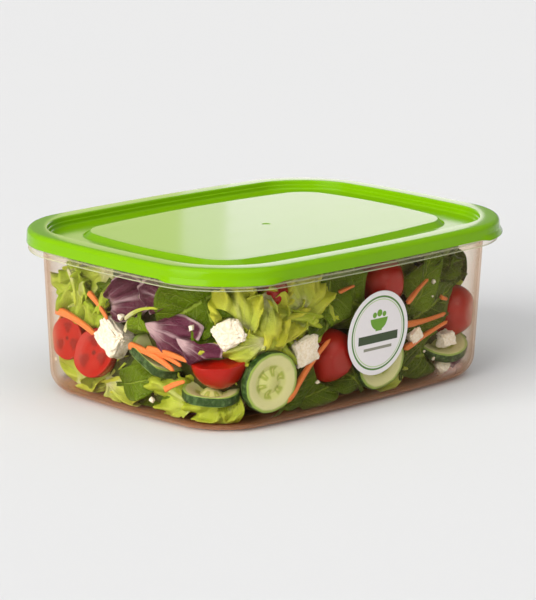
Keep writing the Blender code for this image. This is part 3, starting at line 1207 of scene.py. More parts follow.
@dataclass(frozen=True)
class SmoothLeaf:
    """Spinach leaf on a short stem."""

    length: float
    width: float
    arch: float = 0.9
    fold: float = 0.25
    wave: float = 0.0022
    stem_share: float = 0.16
    seed: int = 1
    rows: int = 46
    columns: int = 21

    def skin(self, tone: float) -> Skin:
        """Surface over u from stem to tip and v from edge to edge.

        Half width is sin(pi b^0.72)^0.8 with b the share past the stem, plus the stem's own. The middle
        line is an arc; the height over it is the fold times |v|, an edge wave that grows with v^2, small
        pillows between the side veins, and an uneven field.

        Args:
            tone: Shade number of the leaf.

        Returns:
            The leaf, round the origin.
        """
        u = np.linspace(0.0, 1.0, self.rows)[:, None]
        v = np.linspace(-1.0, 1.0, self.columns)[None]
        blade = np.clip((u - self.stem_share) / (1 - self.stem_share), 0.0, 1.0)
        half = self.width / 2 * np.sin(np.pi * blade ** 0.72).clip(0) ** 0.8
        half = half + 0.0011 * (1.0 - smoothstep(self.stem_share, self.stem_share + 0.25, u)) + 0.0001
        phase = self.seed * 1.7
        veins = np.abs(np.sin(np.pi * (blade * 6.5 - 1.7 * np.abs(v))))
        lift = self.fold * np.abs(v) ** 1.3 * half
        edge_wave = np.sin(11.0 * u + phase + 2.0 * np.sign(v))
        lift = lift + self.wave * v ** 2 * edge_wave * smoothstep(0.1, 0.4, u)
        lift = lift + 0.0009 * veins * (1 - np.abs(v)) * smoothstep(0.2, 0.4, u)
        angle = self.arch * (u - 0.5)
        radius = self.length / self.arch
        x = v * half + 0.002 * np.sin(2.0 * u + phase)
        y = radius * np.sin(angle) + lift * np.sin(angle)
        z = -radius * (1.0 - np.cos(angle)) + lift * np.cos(angle)
        grid = stacked(x, y, z)
        grid[..., 2] += 0.0013 * lumps(grid, 0.016, self.seed)
        return Skin.sheet(grid, stacked(blade, v), tone)


@dataclass(frozen=True)
class FrillLeaf:
    """Curly leaf that fans out from its rib to a ruffled edge."""

    length: float
    spread: float = 1.05
    frill: float = 0.0055
    ruffle: float = 0.0170
    arch: float = 0.9
    cup: float = 0.34
    seed: int = 1
    rows: int = 26
    columns: int = 88

    def skin(self, tone: float) -> Skin:
        """Surface over u from foot to edge and v across the fan.

        Radius is length * u * (1 - 0.42 |v|^3), angle is spread * v. The edge wave is
        frill * e * sin(2 pi s / ruffle), with s the way round the edge and e the closeness to it; right at
        the edge a second wave of a third of the length comes on top. The leaf cups with v^2 and has uneven
        fields in folds, puckers and blisters.

        Args:
            tone: Shade number of the leaf.

        Returns:
            The leaf, round the origin.
        """
        draw = np.random.default_rng(self.seed)
        first, second, third = draw.uniform(0, 2 * np.pi, 3)
        u = np.linspace(0.02, 1.0, self.rows)[:, None]
        v = np.linspace(-1.0, 1.0, self.columns)[None]
        near = np.maximum(u ** 2.4, np.abs(v) ** 5 * smoothstep(0.1, 0.5, u))
        flat = stacked(u * self.length, v * self.spread * self.length, 0.0)
        stray = lumps(flat, 0.015, self.seed + 2)
        way = (v * self.spread + 0.5 * np.sign(v) * (1.0 - u) * np.abs(v) ** 4) * self.length
        round_edge = 2 * np.pi * way / self.ruffle + first
        main = np.sin(round_edge + 1.2 * np.sin(4 * v + third) + 1.9 * stray)
        edge = np.maximum(u ** 7, np.abs(v) ** 9 * smoothstep(0.2, 0.6, u))
        fine = edge * np.sin(2 * np.pi * way / (0.31 * self.ruffle) + second + 2.4 * stray)
        radius = self.length * u * (1.0 - 0.42 * np.abs(v) ** 3) * (1.0 + 0.07 * u * np.sin(5 * v + third))
        radius = radius + self.frill * near * (0.24 * np.cos(round_edge) + 0.14 * fine)
        angle = v * self.spread + 0.03 * near * main
        lift = self.frill * near * (main + 0.40 * fine) + self.cup * self.length * v ** 2 * u * 0.5
        x = radius * np.sin(angle)
        flat = radius * np.cos(angle) - 0.5 * self.length
        bend = self.arch * flat / self.length
        y = self.length / self.arch * np.sin(bend) + lift * np.sin(bend)
        z = -self.length / self.arch * (1.0 - np.cos(bend)) + lift * np.cos(bend)
        grid = stacked(x, y, z)
        grid[..., 2] += 0.0030 * lumps(grid, 0.024, self.seed) + 0.0013 * lumps(grid, 0.011, self.seed + 3)
        grid[..., 2] += 0.0006 * lumps(grid, 0.0055, self.seed + 1)
        return Skin.sheet(grid, stacked(u, v), tone)


@dataclass(frozen=True)
class TomatoHalf:
    """Half a cherry tomato; its cut faces along +Z."""

    radius: float = 0.0135
    tall: float = 1.12
    around: int = 44

    def skin(self, tone: float) -> Skin:
        """Rings from the dome's pole to the cut edge, then over a slightly sunken cut face to its middle.

        Args:
            tone: Shade number of the half.

        Returns:
            The half, round the origin.
        """
        theta = np.linspace(0.0, np.pi / 2, 15)
        dome_r, dome_z = np.sin(theta), -self.tall * np.cos(theta)
        face_r = np.array([0.985, 0.95, 0.8, 0.62, 0.42, 0.22, 0.0])
        face_z = np.array([0.035, 0.03, 0.005, -0.02, -0.02, 0.0, -0.03])
        r = np.concatenate([dome_r, face_r])[:, None]
        z = np.concatenate([dome_z, face_z])[:, None]
        mark = np.concatenate([1.0 + 0.5 * np.cos(theta), face_r])[:, None]
        angle = circle(self.around)
        wobble = 1.0 + 0.03 * np.cos(2 * angle + 6 * tone) + 0.015 * np.cos(5 * angle)
        grid = stacked(r * wobble * np.cos(angle), r * wobble * np.sin(angle), z) * self.radius
        return Skin.body(grid, stacked(mark * np.cos(angle), mark * np.sin(angle)), tone)


@dataclass(frozen=True)
class CucumberSlice:
    """Round slice of cucumber, its faces along Z."""

    radius: float = 0.017
    thickness: float = 0.0055
    around: int = 60

    def skin(self, tone: float) -> Skin:
        """Rings from one face's middle over the rounded rind edge to the other's; the faces sink a little.

        Args:
            tone: Shade number of the slice.

        Returns:
            The slice, round the origin.
        """
        face = np.array([0, 0.2, 0.4, 0.6, 0.8, 0.93, 0.985])
        r = np.concatenate([face, [1.0, 1.0], face[::-1]])[:, None]
        mark = np.concatenate([face, [1.15, 1.15], face[::-1]])[:, None]
        z = np.array([-4, -2, 0, 4, 6, 7, 6, 3.6])[:, None] / 14.0
        z = np.concatenate([z, -z[::-1]])
        z = np.where(r < 0.5, np.sign(z) * 0.42, z)
        angle = circle(self.around)
        wobble = 1.0 + 0.012 * np.cos(3 * angle + 9 * tone) + 0.006 * np.cos(14 * angle)
        x = r * wobble * np.cos(angle) * self.radius
        y = r * wobble * np.sin(angle) * self.radius
        pattern = stacked(mark * np.cos(angle), mark * np.sin(angle))
        return Skin.body(stacked(x, y, z * self.thickness), pattern, tone)


@dataclass(frozen=True)
class FetaLump:
    """Broken cube of cheese, or a crumb of it."""

    size: float
    rough: float = 0.14
    rows: int = 56
    columns: int = 84
    seed: int = 1
    power: float = 0.34

    def skin(self, tone: float) -> Skin:
        """Superellipsoid pushed in and out by lumps of four sizes.

        Args:
            tone: Shade number of the lump.

        Returns:
            The lump, round the origin.
        """
        polar = np.linspace(0.0, np.pi, self.rows)[:, None]
        angle = circle(self.columns)
        out, rise = square_wave(np.sin(polar), self.power), square_wave(np.cos(polar), self.power)
        x, y = square_wave(np.cos(angle), self.power), square_wave(np.sin(angle), self.power)
        grid = stacked(out * x, out * y * 0.86, rise * 0.78)
        uneven = lumps(grid, 1.7, self.seed) + 0.6 * lumps(grid, 0.6, self.seed + 1)
        uneven = uneven + 0.6 * lumps(grid, 0.30, self.seed + 2) + 0.45 * lumps(grid, 0.16, self.seed + 3)
        grid = grid * (1.0 + self.rough * uneven)[..., None] * self.size / 2
        return Skin.body(grid, stacked(polar, angle), tone)


@dataclass(frozen=True)
class CarrotStick:
    """Cut strip of carrot, tapered and bowed, along Y."""

    length: float
    width: float = 0.0034
    bend: float = 0.35
    rows: int = 18
    columns: int = 12

    def skin(self, tone: float) -> Skin:
        """Rounded square carried along an arc; it tapers from foot to tip.

        Args:
            tone: Shade number of the strip.

        Returns:
            The strip, round the origin.
        """
        u = np.linspace(0.0, 1.0, self.rows)[:, None]
        angle = circle(self.columns)
        ends = np.clip(np.minimum(u, 1 - u) / 0.045, 0.0, 1.0) ** 0.5
        half = self.width / 2 * (1.0 - 0.45 * u) * ends * (1.0 + 0.06 * np.sin(9 * u + 7 * tone))
        turn = self.bend * (u - 0.5)
        arc = self.length / self.bend
        x = half * square_wave(np.cos(angle), 0.4) + arc * (1 - np.cos(turn))
        grid = stacked(x, arc * np.sin(turn), half * square_wave(np.sin(angle), 0.4) * 0.75)
        return Skin.body(grid, stacked(u, angle / (2 * np.pi)), tone)


# ---- Salad ----


class Leaf(Enum):
    """Kinds of leaf that fill the tub."""

    SPINACH = "spinach"
    LETTUCE = "lettuce"
    RADICCHIO = "radicchio"


@dataclass(frozen=True)
class Knob:
    """Firm thing that leaves tuck behind: its middle, half its width and height, and how far in they go."""

    middle: Array
    half: float
    tall: float
    depth: float


@dataclass
class Salad:
    """Mixed salad that fills the tub: things laid one by one along the two near walls, and leaves all round.

    The spots of firm things carry half their width in millimetres as the size. In millimetres and degrees,
    things above `bed` lie on top, lumps up to `crumb` hold no leaf back, and halves lie above `lying`.
    Knobs face away from a middle of half sizes `core`.
    """

    tub: Tub
    margin: float = 0.0007
    ceiling: float = 0.0825
    leaf_wall: float = 0.0004
    give: float = 0.8
    layer: float = 0.0006
    relief: float = 0.0009
    bed: float = 70.0
    crumb: float = 5.0
    lying: float = 45.0
    core: tuple[float, float] = (0.067, 0.035)
    slice_knob: float = 0.0085
    slice_depth: float = 0.016
    tomato_spots: tuple[Spot, ...] = (
        Spot(-105, 50, 32, -88, 12, 0, 11.8, 0.2), Spot(-104, 27, 28, -80, 22, 0, 13.4, 0.5),
        Spot(-93, -60, 38, -60, 76, 0, 14.8, 0.8), Spot(-19, -71, 30, 140, -10, 0, 14.5, 0.4),
        Spot(18, -71, 66, 150, -5, 0, 15.0, 0.6), Spot(84, -66, 38, 150, -25, 0, 15.0, 0.3),
        Spot(-60, -66, 72, 150, 10, 0, 9.0, 0.7),
        Spot(104, 20, 40, 90, 10, 0, 14.0, 0.2), Spot(102, -30, 24, 92, 30, 0, 13.5, 0.5),
        Spot(60, 74, 44, -20, 0, 0, 14.0, 0.4), Spot(0, 76, 28, 180, 20, 0, 14.0, 0.9),
        Spot(-62, 74, 52, 178, -10, 0, 14.0, 0.3), Spot(-40, 10, 74, 0, 70, 0, 14.5, 0.7),
        Spot(50, -20, 74, 40, 60, 0, 14.0, 0.6))
    standing_slices: tuple[Spot, ...] = (
        Spot(-70, -77, 25, -8, -4, 20, 17.0, 0.5), Spot(12, -79, 24, -4, 0, 0, 17.0, 0.7),
        Spot(106, 0, 30, 88, 5, 0, 17.0, 0.2), Spot(30, 80, 24, 178, 5, 0, 17.0, 0.4),
        Spot(-72, 76, 24, 190, 5, 0, 17.0, 0.6))
    lying_slices: tuple[Spot, ...] = (
        Spot(-103, -20, 34, 0, 62, 10, 17.0, 0.1), Spot(-97, -57, 19, -40, 82, 0, 15.5, 0.3),
        Spot(74, -66, 22, -10, 62, 0, 17.0, 0.9), Spot(0, -20, 76, 0, 75, 0, 17.0, 0.8),
        Spot(70, 30, 75, 60, 70, 0, 17.0, 0.35))
    feta_spots: tuple[Spot, ...] = (
        Spot(-107, 9, 40, -80, 10, -35, 8.8), Spot(-91, -66, 53, -45, 10, 25, 7.8),
        Spot(-45, -77, 38, -20, 10, 15, 7.2), Spot(38, -78, 33, 0, 0, 30, 4.5),
        Spot(68, -75, 26, 0, 0, 10, 4.6), Spot(70, -72, 9, 0, 20, 40, 4.0),
        Spot(104, -10, 58, 90, 0, 30, 8.0), Spot(20, 78, 56, 180, 0, 20, 8.5),
        Spot(-20, 40, 74, 0, 80, 20, 8.5), Spot(30, 30, 74, 0, 80, 50, 8.0),
        Spot(-70, -30, 74, 0, 80, 30, 7.5))

    def knobs(self) -> list[Knob]:
        """Every knob near a wall.

        Returns:
            Three knobs for a slice that lies, and one for each other firm thing.
        """
        found = []
        up = np.array([0.0, 0.0, 1.0])
        for spots, deep in ((self.tomato_spots, 0.9), (self.standing_slices, 0.3), (self.feta_spots, 0.9)):
            for spot in spots:
                half = spot.size / 1000
                if spot.z >= self.bed or spot.size <= self.crumb:
                    continue
                if spot.elevation > self.lying:
                    found.append(Knob(spot.place() - up * (0.42 * half), half, 0.5 * half, half))
                else:
                    found.append(Knob(spot.place(), 1.12 * half, 1.12 * half, half * deep))
        for spot in self.lying_slices:
            if spot.z < self.bed:
                turn = np.array(spot.turn()) * 0.008
                for shift in (-turn[:, 0], turn[:, 0], turn[:, 1]):
                    place = spot.place() + shift
                    found.append(Knob(place, self.slice_knob, self.slice_knob, self.slice_depth))
        return found

    def tucked(self, skin: Skin) -> Skin:
        """Move a leaf's points in behind the knobs.

        With l the distance from a knob's axis towards the wall, as a share of its half width, a point comes
        no further out than -depth * sqrt(1 - l^2) inside the knob, and than (l - 1) / 0.6 of the half width
        just beside it.

        Args:
            skin: The leaf.

        Returns:
            The leaf with its points moved.
        """
        points = skin.points.copy()
        for knob in self.knobs():
            out = np.zeros(3)
            out[:2] = np.sign(knob.middle[:2]) * np.maximum(np.abs(knob.middle[:2]) - self.core, 0.0)
            out /= np.linalg.norm(out)
            offset = points - knob.middle
            along = offset @ out
            across = offset - along[:, None] * out
            across[:, 2] *= knob.half / knob.tall
            share = np.linalg.norm(across, axis=1) / knob.half
            inside = -knob.depth * np.sqrt(np.maximum(1.0 - share ** 2, 0.0))
            limit = np.where(share < 1.0, inside, (share - 1.0) / 0.6 * knob.half)
            moves = (share < 1.6) & (along > limit) & (along < knob.half + 0.012)
            points += np.where(moves, limit - along, 0.0)[:, None] * out
        return Skin(points, skin.faces, skin.pattern, skin.tone)

    def keep_inside(self, skin: Skin, behind: float = 0.0, soft: float = 0.0) -> Skin:
        """Press a skin against the tub's inner face, the floor and the lid.

        The distance d to the rounded rectangle at the point's own height gives how far it has to come in: by
        d where that is above zero, or by d + soft * log(1 + exp(-d / soft)), which keeps some of its relief.

        Args:
            skin: The skin.
            behind: How far it stays behind the usual margin.
            soft: Depth of the relief that is kept; none at 0.

        Returns:
            The pressed skin.
        """
        points = skin.points.copy()
        points[:, 2] = np.clip(points[:, 2], self.tub.wall + self.tub.recess + self.margin, self.ceiling)
        z = points[:, 2]
        fillet = self.tub.base_fillet - self.tub.wall
        below = np.clip(self.tub.base_fillet - z, 0.0, fillet)
        inset = self.tub.wall_inset(z) + self.tub.wall + fillet - np.sqrt(fillet ** 2 - below ** 2)
        inset = inset + self.margin + behind
        half = self.tub.plan.half - inset[:, None]
        radius = self.tub.plan.corner_radius - inset
        plan = points[:, :2]
        share = np.clip(np.abs(plan) / half, 0.0, 1.0)
        bow = 1.0 + self.tub.plan.bow / half * (1.0 - share[:, ::-1] ** 2)
        beyond = np.abs(plan) / bow - (half - radius[:, None])
        outside = np.maximum(beyond, 0.0)
        reach = np.linalg.norm(outside, axis=1)
        distance = reach + np.minimum(beyond.max(1), 0.0) - radius
        heading = outside / np.maximum(reach, 1e-9)[:, None] * np.sign(plan)
        push = distance + soft * np.log1p(np.exp(-distance / soft)) if soft else np.maximum(distance, 0.0)
        points[:, :2] -= heading * push[:, None]
        return Skin(points, skin.faces, skin.pattern, skin.tone)

    def settled(self, skin: Skin, behind: float = 0.0, soft: float = 0.0) -> Skin:
        """Shift a skin inwards by most of what its outermost points need, then press in the rest.

        Args:
            skin: The skin.
            behind: How far it stays behind the usual margin.
            soft: Depth of the relief that is kept; none at 0.

        Returns:
            The settled skin.
        """
        push = self.keep_inside(skin, behind).points - skin.points
        depth = np.linalg.norm(push, axis=1)
        if depth.max() > self.margin:
            shift = push[depth > 0.6 * depth.max()].mean(0) * self.give
            skin = Skin(skin.points + shift, skin.faces, skin.pattern, skin.tone)
        return self.keep_inside(skin, behind, soft)

    def laid(self, skins: list[Skin], name: str, material: bpy.types.Material) -> None:
        """Settle firm things, join them and make the piece."""
        Skin.joined([self.settled(skin) for skin in skins]).piece(name, material, None, "tub")

    def layered(self, skins: list[Skin], name: str, material: bpy.types.Material,
                behind: float = 0.0) -> None:
        """Settle leaves, each further behind the wall than the one before, tuck them in and join them.

        Args:
            skins: The leaves.
            name: The piece's name.
            material: Its finish.
            behind: How far the first leaf stays behind the usual margin.
        """
        depths = [behind + self.layer * (number % 5) for number in range(len(skins))]
        settled = [self.settled(skin, depth, self.relief) for skin, depth in zip(skins, depths)]
        tucked = self.keep_inside(self.tucked(self.tucked(Skin.joined(settled))))
        tucked.piece(name, material, None, "tub", self.leaf_wall)

    def near_wall(self, share: float, depth: float, z: float) -> tuple[float, float, float]:
        """Place near the inner wall.

        Args:
            share: Share of the way round.
            depth: Depth inside the inner wall, in metres.
            z: Height, in metres.

        Returns:
            X and y in millimetres, and the azimuth that faces out there.
        """
        inset = self.tub.wall_inset(z) + self.tub.wall + depth
        ring = self.tub.plan.rings(np.array([[inset]]), np.array([[z]]))[0]
        normal = self.tub.plan.samples()[1]
        length = np.cumsum(np.linalg.norm(np.diff(ring, axis=0, append=ring[:1]), axis=1))
        number = int(np.searchsorted(length / length[-1], share % 1.0)) % len(ring)
        azimuth = math.degrees(math.atan2(normal[number, 0], -normal[number, 1]))
        return ring[number, 0] * 1000, ring[number, 1] * 1000, azimuth

    def heart(self) -> None:
        """Lumpy dark mass in the middle, so that no light shows through; its dark colour is painted shade."""
        z = np.array([0.003, 0.004, 0.010, 0.020, 0.034, 0.048, 0.058, 0.064, 0.066])
        inset = np.array([38, 33, 28, 26, 26, 27, 30, 38, 50]) / 1000.0
        rings = self.tub.plan.rings(inset[:, None], z[:, None], np.full(9, 0.018), np.full(9, 0.004))
        fine = np.linspace(0.0, 8.0, 41)
        low = np.minimum(fine.astype(int), 7)
        part = (fine - low)[:, None, None]
        rings = rings[low] * (1 - part) + rings[low + 1] * part
        shrink = np.linspace(0.0, 0.95, 14)
        grid = self.tub.plan.capped(rings, shrink, shrink[::-1])
        push = lumps(grid, 0.030, 5) * 0.003 + lumps(grid, 0.012, 6) * 0.0016
        out = grid - np.array([0.0, 0.0, 0.034])
        out = out / np.linalg.norm(out, axis=-1, keepdims=True)
        skin = Skin.body(grid + out * push[..., None], grid[..., :2])
        self.laid([skin], "salad_heart_painted_shade", ShadedHeart().build())

    def scattered(self, kind: Leaf, count: int, seed: int) -> list[Skin]:
        """Leaves of one kind spread round all four walls and over the top.

        Args:
            kind: The kind of leaf.
            count: How many.
            seed: Start of the random draws.

        Returns:
            The leaves' skins.
        """
        draw = np.random.default_rng(seed)
        skins = []
        for number in range(count):
            on_top = number % 5 > 2
            tone = float(draw.uniform(0.0, 1.0))
            if on_top:
                x, y = draw.uniform(-88, 88), draw.uniform(-58, 58)
                spot = Spot(x, y, draw.uniform(66, 75), draw.uniform(-180, 180), draw.uniform(60, 90),
                            draw.uniform(0, 360))
            else:
                z = draw.uniform(12, 70)
                share = (number + draw.uniform(0, 1)) / count * 1.37
                laid_by_hand = 0.33 < share % 1.0 < 0.82
                x, y, azimuth = self.near_wall(share, 0.021 if laid_by_hand else 0.0085, z / 1000)
                spot = Spot(x, y, z, azimuth + draw.uniform(-25, 25), draw.uniform(-15, 30),
                            draw.uniform(0, 360))
            skins.append(spot.put(self.leaf(kind, draw.uniform(0.8, 1.15), number + seed).skin(tone)))
        return skins

    @staticmethod
    def leaf(kind: Leaf, size: float, seed: int) -> SmoothLeaf | FrillLeaf:
        """A leaf for the strewn bed.

        Args:
            kind: The kind of leaf.
            size: Its size beside the usual one.
            seed: Start of its random draws.

        Returns:
            The leaf.
        """
        if kind is Leaf.SPINACH:
            arch = 0.8 + 0.15 * (seed % 5)
            return SmoothLeaf(0.046 * size, 0.029 * size, arch, 0.3, seed=seed, rows=30, columns=17)
        if kind is Leaf.LETTUCE:
            arch = 0.6 + 0.15 * (seed % 4)
            return FrillLeaf(0.036 * size, 0.9, 0.0048, arch=arch, seed=seed, rows=20, columns=64)
        return FrillLeaf(0.030 * size, 0.7, 0.0022, 0.018, seed=seed, rows=16, columns=48)

    def spinach(self) -> None:
        """Spinach leaves."""
        rows = [
            (Spot(-98, -43, 64, -62, 4, 128, tone=0.55), SmoothLeaf(0.050, 0.037, 0.9, 0.3, seed=3)),
            (Spot(-92, -60, 53, -48, -4, 205, tone=0.42), SmoothLeaf(0.040, 0.026, 0.6, 0.22, seed=4)),
            (Spot(-110, -14, 47, -80, 0, 170, tone=0.9), SmoothLeaf(0.023, 0.0145, 0.5, 0.3, seed=5)),
            (Spot(-104, 20, 62, -88, 5, 160, tone=0.25), SmoothLeaf(0.020, 0.014, 0.6, 0.2, seed=6)),
            (Spot(-98, -4, 72, -88, 10, 95, tone=0.6), SmoothLeaf(0.034, 0.018, 0.6, 0.2, seed=7)),
            (Spot(-106, -8, 20, -82, 0, -75, tone=0.55), SmoothLeaf(0.036, 0.019, 0.6, 0.4, seed=8)),
            (Spot(-14, -79, 62, -8, 0, 62, tone=0.55), SmoothLeaf(0.056, 0.036, 0.5, 0.2, seed=9)),
            (Spot(-30, -78, 58, -12, 0, 175, tone=0.38), SmoothLeaf(0.060, 0.030, 0.5, 0.2, seed=10)),
            (Spot(50, -78, 47, -4, 0, -65, tone=0.30), SmoothLeaf(0.050, 0.030, 0.5, 0.2, seed=11)),
            (Spot(76, -74, 58, 6, 0, -40, tone=0.34), FrillLeaf(0.040, 0.42, 0.0030, 0.012, seed=12)),
            (Spot(47, -78, 64, -2, 0, -24, tone=0.7), SmoothLeaf(0.048, 0.020, 0.9, 0.4, seed=13)),
            (Spot(60, -78, 68, 0, 0, -64, tone=0.5), FrillLeaf(0.042, 0.36, 0.0030, 0.012, seed=14)),
            (Spot(58, -77, 50, 0, 0, -76, tone=0.25), FrillLeaf(0.044, 0.4, 0.0030, 0.013, seed=21)),
            (Spot(48, -77, 17, -4, 0, 84, tone=0.18), SmoothLeaf(0.052, 0.026, 0.6, 0.3, seed=15)),
            (Spot(-12, -77, 22, -6, 0, 40, tone=0.2), SmoothLeaf(0.044, 0.026, 0.6, 0.25, seed=16)),
            (Spot(-47, -77, 17, -10, 0, -38, tone=0.22), SmoothLeaf(0.040, 0.016, 0.5, 0.35, seed=17)),
            (Spot(-28, -76, 12, -8, 0, -72, tone=0.3), SmoothLeaf(0.046, 0.018, 0.5, 0.35, seed=18)),
            (Spot(26, -78, 30, -4, 0, 15, tone=0.12), SmoothLeaf(0.050, 0.032, 0.5, 0.2, seed=19)),
            (Spot(86, -68, 26, 20, 0, 20, tone=0.3), SmoothLeaf(0.040, 0.020, 0.5, 0.2, seed=20)),
        ]
        finish = SpinachGreen().build()
        self.layered([spot.grow(leaf) for spot, leaf in rows], "salad_spinach", finish, 0.0004)
        self.layered(self.scattered(Leaf.SPINACH, 80, 100), "salad_spinach_fill", finish, 0.002)

    def lettuce(self) -> None:
        """Curly lettuce."""
        rows = [
            (Spot(-108, 38, 56, -88, 0, 184, tone=0.2), FrillLeaf(0.042, 0.62, seed=21)),
            (Spot(-106, 24, 66, -85, 0, 140, tone=0.25), FrillLeaf(0.030, 0.8, seed=22)),
            (Spot(-103, 34, 16, -80, 0, 60, tone=0.7), FrillLeaf(0.034, 0.9, seed=23)),
            (Spot(-98, 56, 14, -105, 0, 30, tone=0.6), FrillLeaf(0.034, 1.0, seed=45)),
            (Spot(-104, 46, 12, -95, 0, -30, tone=0.8), FrillLeaf(0.030, 1.0, seed=46)),
            (Spot(-104, 12, 12, -80, 10, -80, tone=0.6), FrillLeaf(0.030, 0.8, seed=24)),
            (Spot(-104, -32, 14, -70, 0, 70, tone=0.5), FrillLeaf(0.028, 0.9, seed=25)),
            (Spot(-97, -60, 10, -50, 10, 100, tone=0.5), FrillLeaf(0.036, 0.9, seed=26)),
            (Spot(-88, -72, 66, -40, 0, 15, tone=0.9), FrillLeaf(0.034, 0.75, seed=27)),
            (Spot(-66, -77, 57, -28, 0, -62, tone=1.0), FrillLeaf(0.046, 0.55, seed=28)),
            (Spot(-46, -78, 64, -18, 0, -25, tone=0.8), FrillLeaf(0.036, 0.7, seed=29)),
            (Spot(-88, -71, 45, -38, 5, 100, tone=0.75), FrillLeaf(0.034, 0.6, seed=30)),
            (Spot(-54, -77, 50, -20, 0, -110, tone=0.35), FrillLeaf(0.032, 0.7, seed=31)),
            (Spot(-92, -68, 20, -45, 0, 188, tone=0.5), FrillLeaf(0.034, 0.35, 0.0030, seed=32)),
            (Spot(-34, -79, 56, -12, 0, 168, tone=0.6), FrillLeaf(0.034, 0.5, 0.0035, seed=33)),
            (Spot(28, -78, 10, -4, 0, 90, tone=0.4), FrillLeaf(0.026, 0.6, 0.0030, seed=34)),
            (Spot(-110, 48, 64, -88, 0, 20, tone=0.3), FrillLeaf(0.030, 0.9, seed=35)),
            (Spot(-76, -75, 60, -34, 0, 150, tone=0.95), FrillLeaf(0.030, 0.9, seed=36)),
            (Spot(-54, -79, 70, -20, 0, 40, tone=0.8), FrillLeaf(0.028, 1.0, seed=37)),
            (Spot(-38, -79, 54, -14, 0, -40, tone=0.7), FrillLeaf(0.028, 0.9, seed=38)),
            (Spot(-72, -77, 46, -30, 0, -20, tone=0.9), FrillLeaf(0.026, 0.9, seed=39)),
        ]
        finish = LETTUCE.build()
        self.layered([spot.grow(leaf) for spot, leaf in rows], "salad_lettuce", finish)
        self.layered(self.scattered(Leaf.LETTUCE, 38, 200), "salad_lettuce_fill", finish, 0.001)
        stems = [
            (Spot(-109, -16, 60, -82, 0, -68), 0.026), (Spot(-108, -8, 54, -82, 0, -38), 0.020),
            (Spot(-110, 36, 64, -88, 0, 196), 0.022), (Spot(16, -79, 50, 0, 0, 60), 0.024),
        ]
        skins = [spot.put(CarrotStick(length, 0.0023, 0.8).skin(0.6)) for spot, length in stems]
        self.laid(skins, "salad_stems", finish)

    def radicchio(self) -> None:
        """Purple radicchio."""
        rows = [
            (Spot(-104, -55, 42, -55, -4, -120, tone=0.9),
             FrillLeaf(0.030, 0.45, 0.0024, 0.022, 0.5, 0.2, 43)),
            (Spot(-107, 0, 62, -84, 0, -70, tone=0.2), FrillLeaf(0.034, 0.6, 0.0026, 0.016, seed=41)),
            (Spot(-109, -38, 49, -72, 0, -104, tone=0.6),
             FrillLeaf(0.038, 0.55, 0.0026, 0.020, 0.5, 0.2, 42)),
            (Spot(-104, -24, 68, -84, 0, 80, tone=0.1), FrillLeaf(0.024, 0.7, 0.0020, 0.018, seed=44)),
        ]
        skins = [spot.grow(leaf) for spot, leaf in rows]
        skins += self.scattered(Leaf.RADICCHIO, 20, 300)
        self.layered(skins, "salad_radicchio", RADICCHIO.build())

    def tomatoes(self) -> None:
        """Cherry tomato halves."""
        skins = [spot.grow(TomatoHalf(spot.size / 1000)) for spot in self.tomato_spots]
        self.laid(skins, "salad_tomato", TomatoRed().build())

    def cucumber(self) -> None:
        """Cucumber slices."""
        spots = self.standing_slices + self.lying_slices
        skins = [spot.grow(CucumberSlice(spot.size / 1000)) for spot in spots]
        self.laid(skins, "salad_cucumber", CucumberGreen().build())

    def feta(self) -> None:
        """Feta cubes and crumbs."""
        numbered = enumerate(self.feta_spots)
        skins = [spot.grow(FetaLump(spot.size / 500, seed=60 + number)) for number, spot in numbered]
        draw = np.random.default_rng(77)
        knobs = self.knobs()
        for number in range(44):
            z = draw.uniform(8, 66)
            x, y, azimuth = self.near_wall(draw.uniform(0, 1), 0.0022, z / 1000)
            spot = Spot(x, y, z, azimuth, 0, draw.uniform(0, 360))
            if any(np.linalg.norm(spot.place() - knob.middle) < 1.3 * knob.half for knob in knobs):
                continue
            size = 0.0012 + 0.0022 * draw.uniform(0, 1) ** 2
            skins.append(spot.grow(FetaLump(size, 0.3, 9, 12, number)))
        self.laid(skins, "salad_feta", FetaWhite().build())

    def carrots(self) -> None:
        """Carrot sticks: laid by their two ends along the wall, and some strewn about."""
        ends = [
            ((-110, 24, 64), (-110, 8, 51), 3.2), ((-106, 56, 49), (-110, 18, 42), 4.6),
            ((-111, -9, 42), (-108, -43, 33), 4.2), ((-110, -22, 41), (-107, -52, 39), 4.0),
            ((-108, -34, 20), (-106, -48, 27), 3.6), ((-60, -79, 12), (-31, -82, 44), 3.8),
            ((-26, -82, 68), (-14, -82, 70), 2.6), ((28, -81, 53), (45, -81, 65), 3.2),
            ((28, -80, 40), (63, -79, 41), 4.0), ((28, -80, 27), (66, -78, 37), 4.2),
            ((-109, -26, 40), (-106, -46, 35), 3.4), ((58, -80, 52), (64, -79, 50), 3.0),
        ]
        skins = []
        for number, (start, end, width) in enumerate(ends):
            first, last = Vector(start) / 1000, Vector(end) / 1000
            along = (last - first).normalized()
            out = Vector((0, -1, 0)) if abs(first.y) > 72 else Vector((-1, 0, 0))
            side = along.cross(out).normalized()
            turn = Matrix((side, along, side.cross(along))).transposed()
            stick = CarrotStick((last - first).length, width / 1000, 0.25 + 0.1 * (number % 3))
            skins.append(stick.skin(0.1 * number).moved(turn, (first + last) / 2))
        draw = np.random.default_rng(88)
        for _ in range(26):
            z = draw.uniform(10, 72)
            x, y, azimuth = self.near_wall(0.84 + 0.47 * draw.uniform(0, 1), 0.003, z / 1000)
            spot = Spot(x, y, z, azimuth, draw.uniform(-10, 10), draw.uniform(0, 360))
            stick = CarrotStick(draw.uniform(0.018, 0.034), 0.0032)
            skins.append(spot.put(stick.skin(float(draw.uniform(0, 1)))))
        for _ in range(12):
            spot = Spot(draw.uniform(-85, 85), draw.uniform(-55, 55), 77, 0, 85, draw.uniform(0, 360))
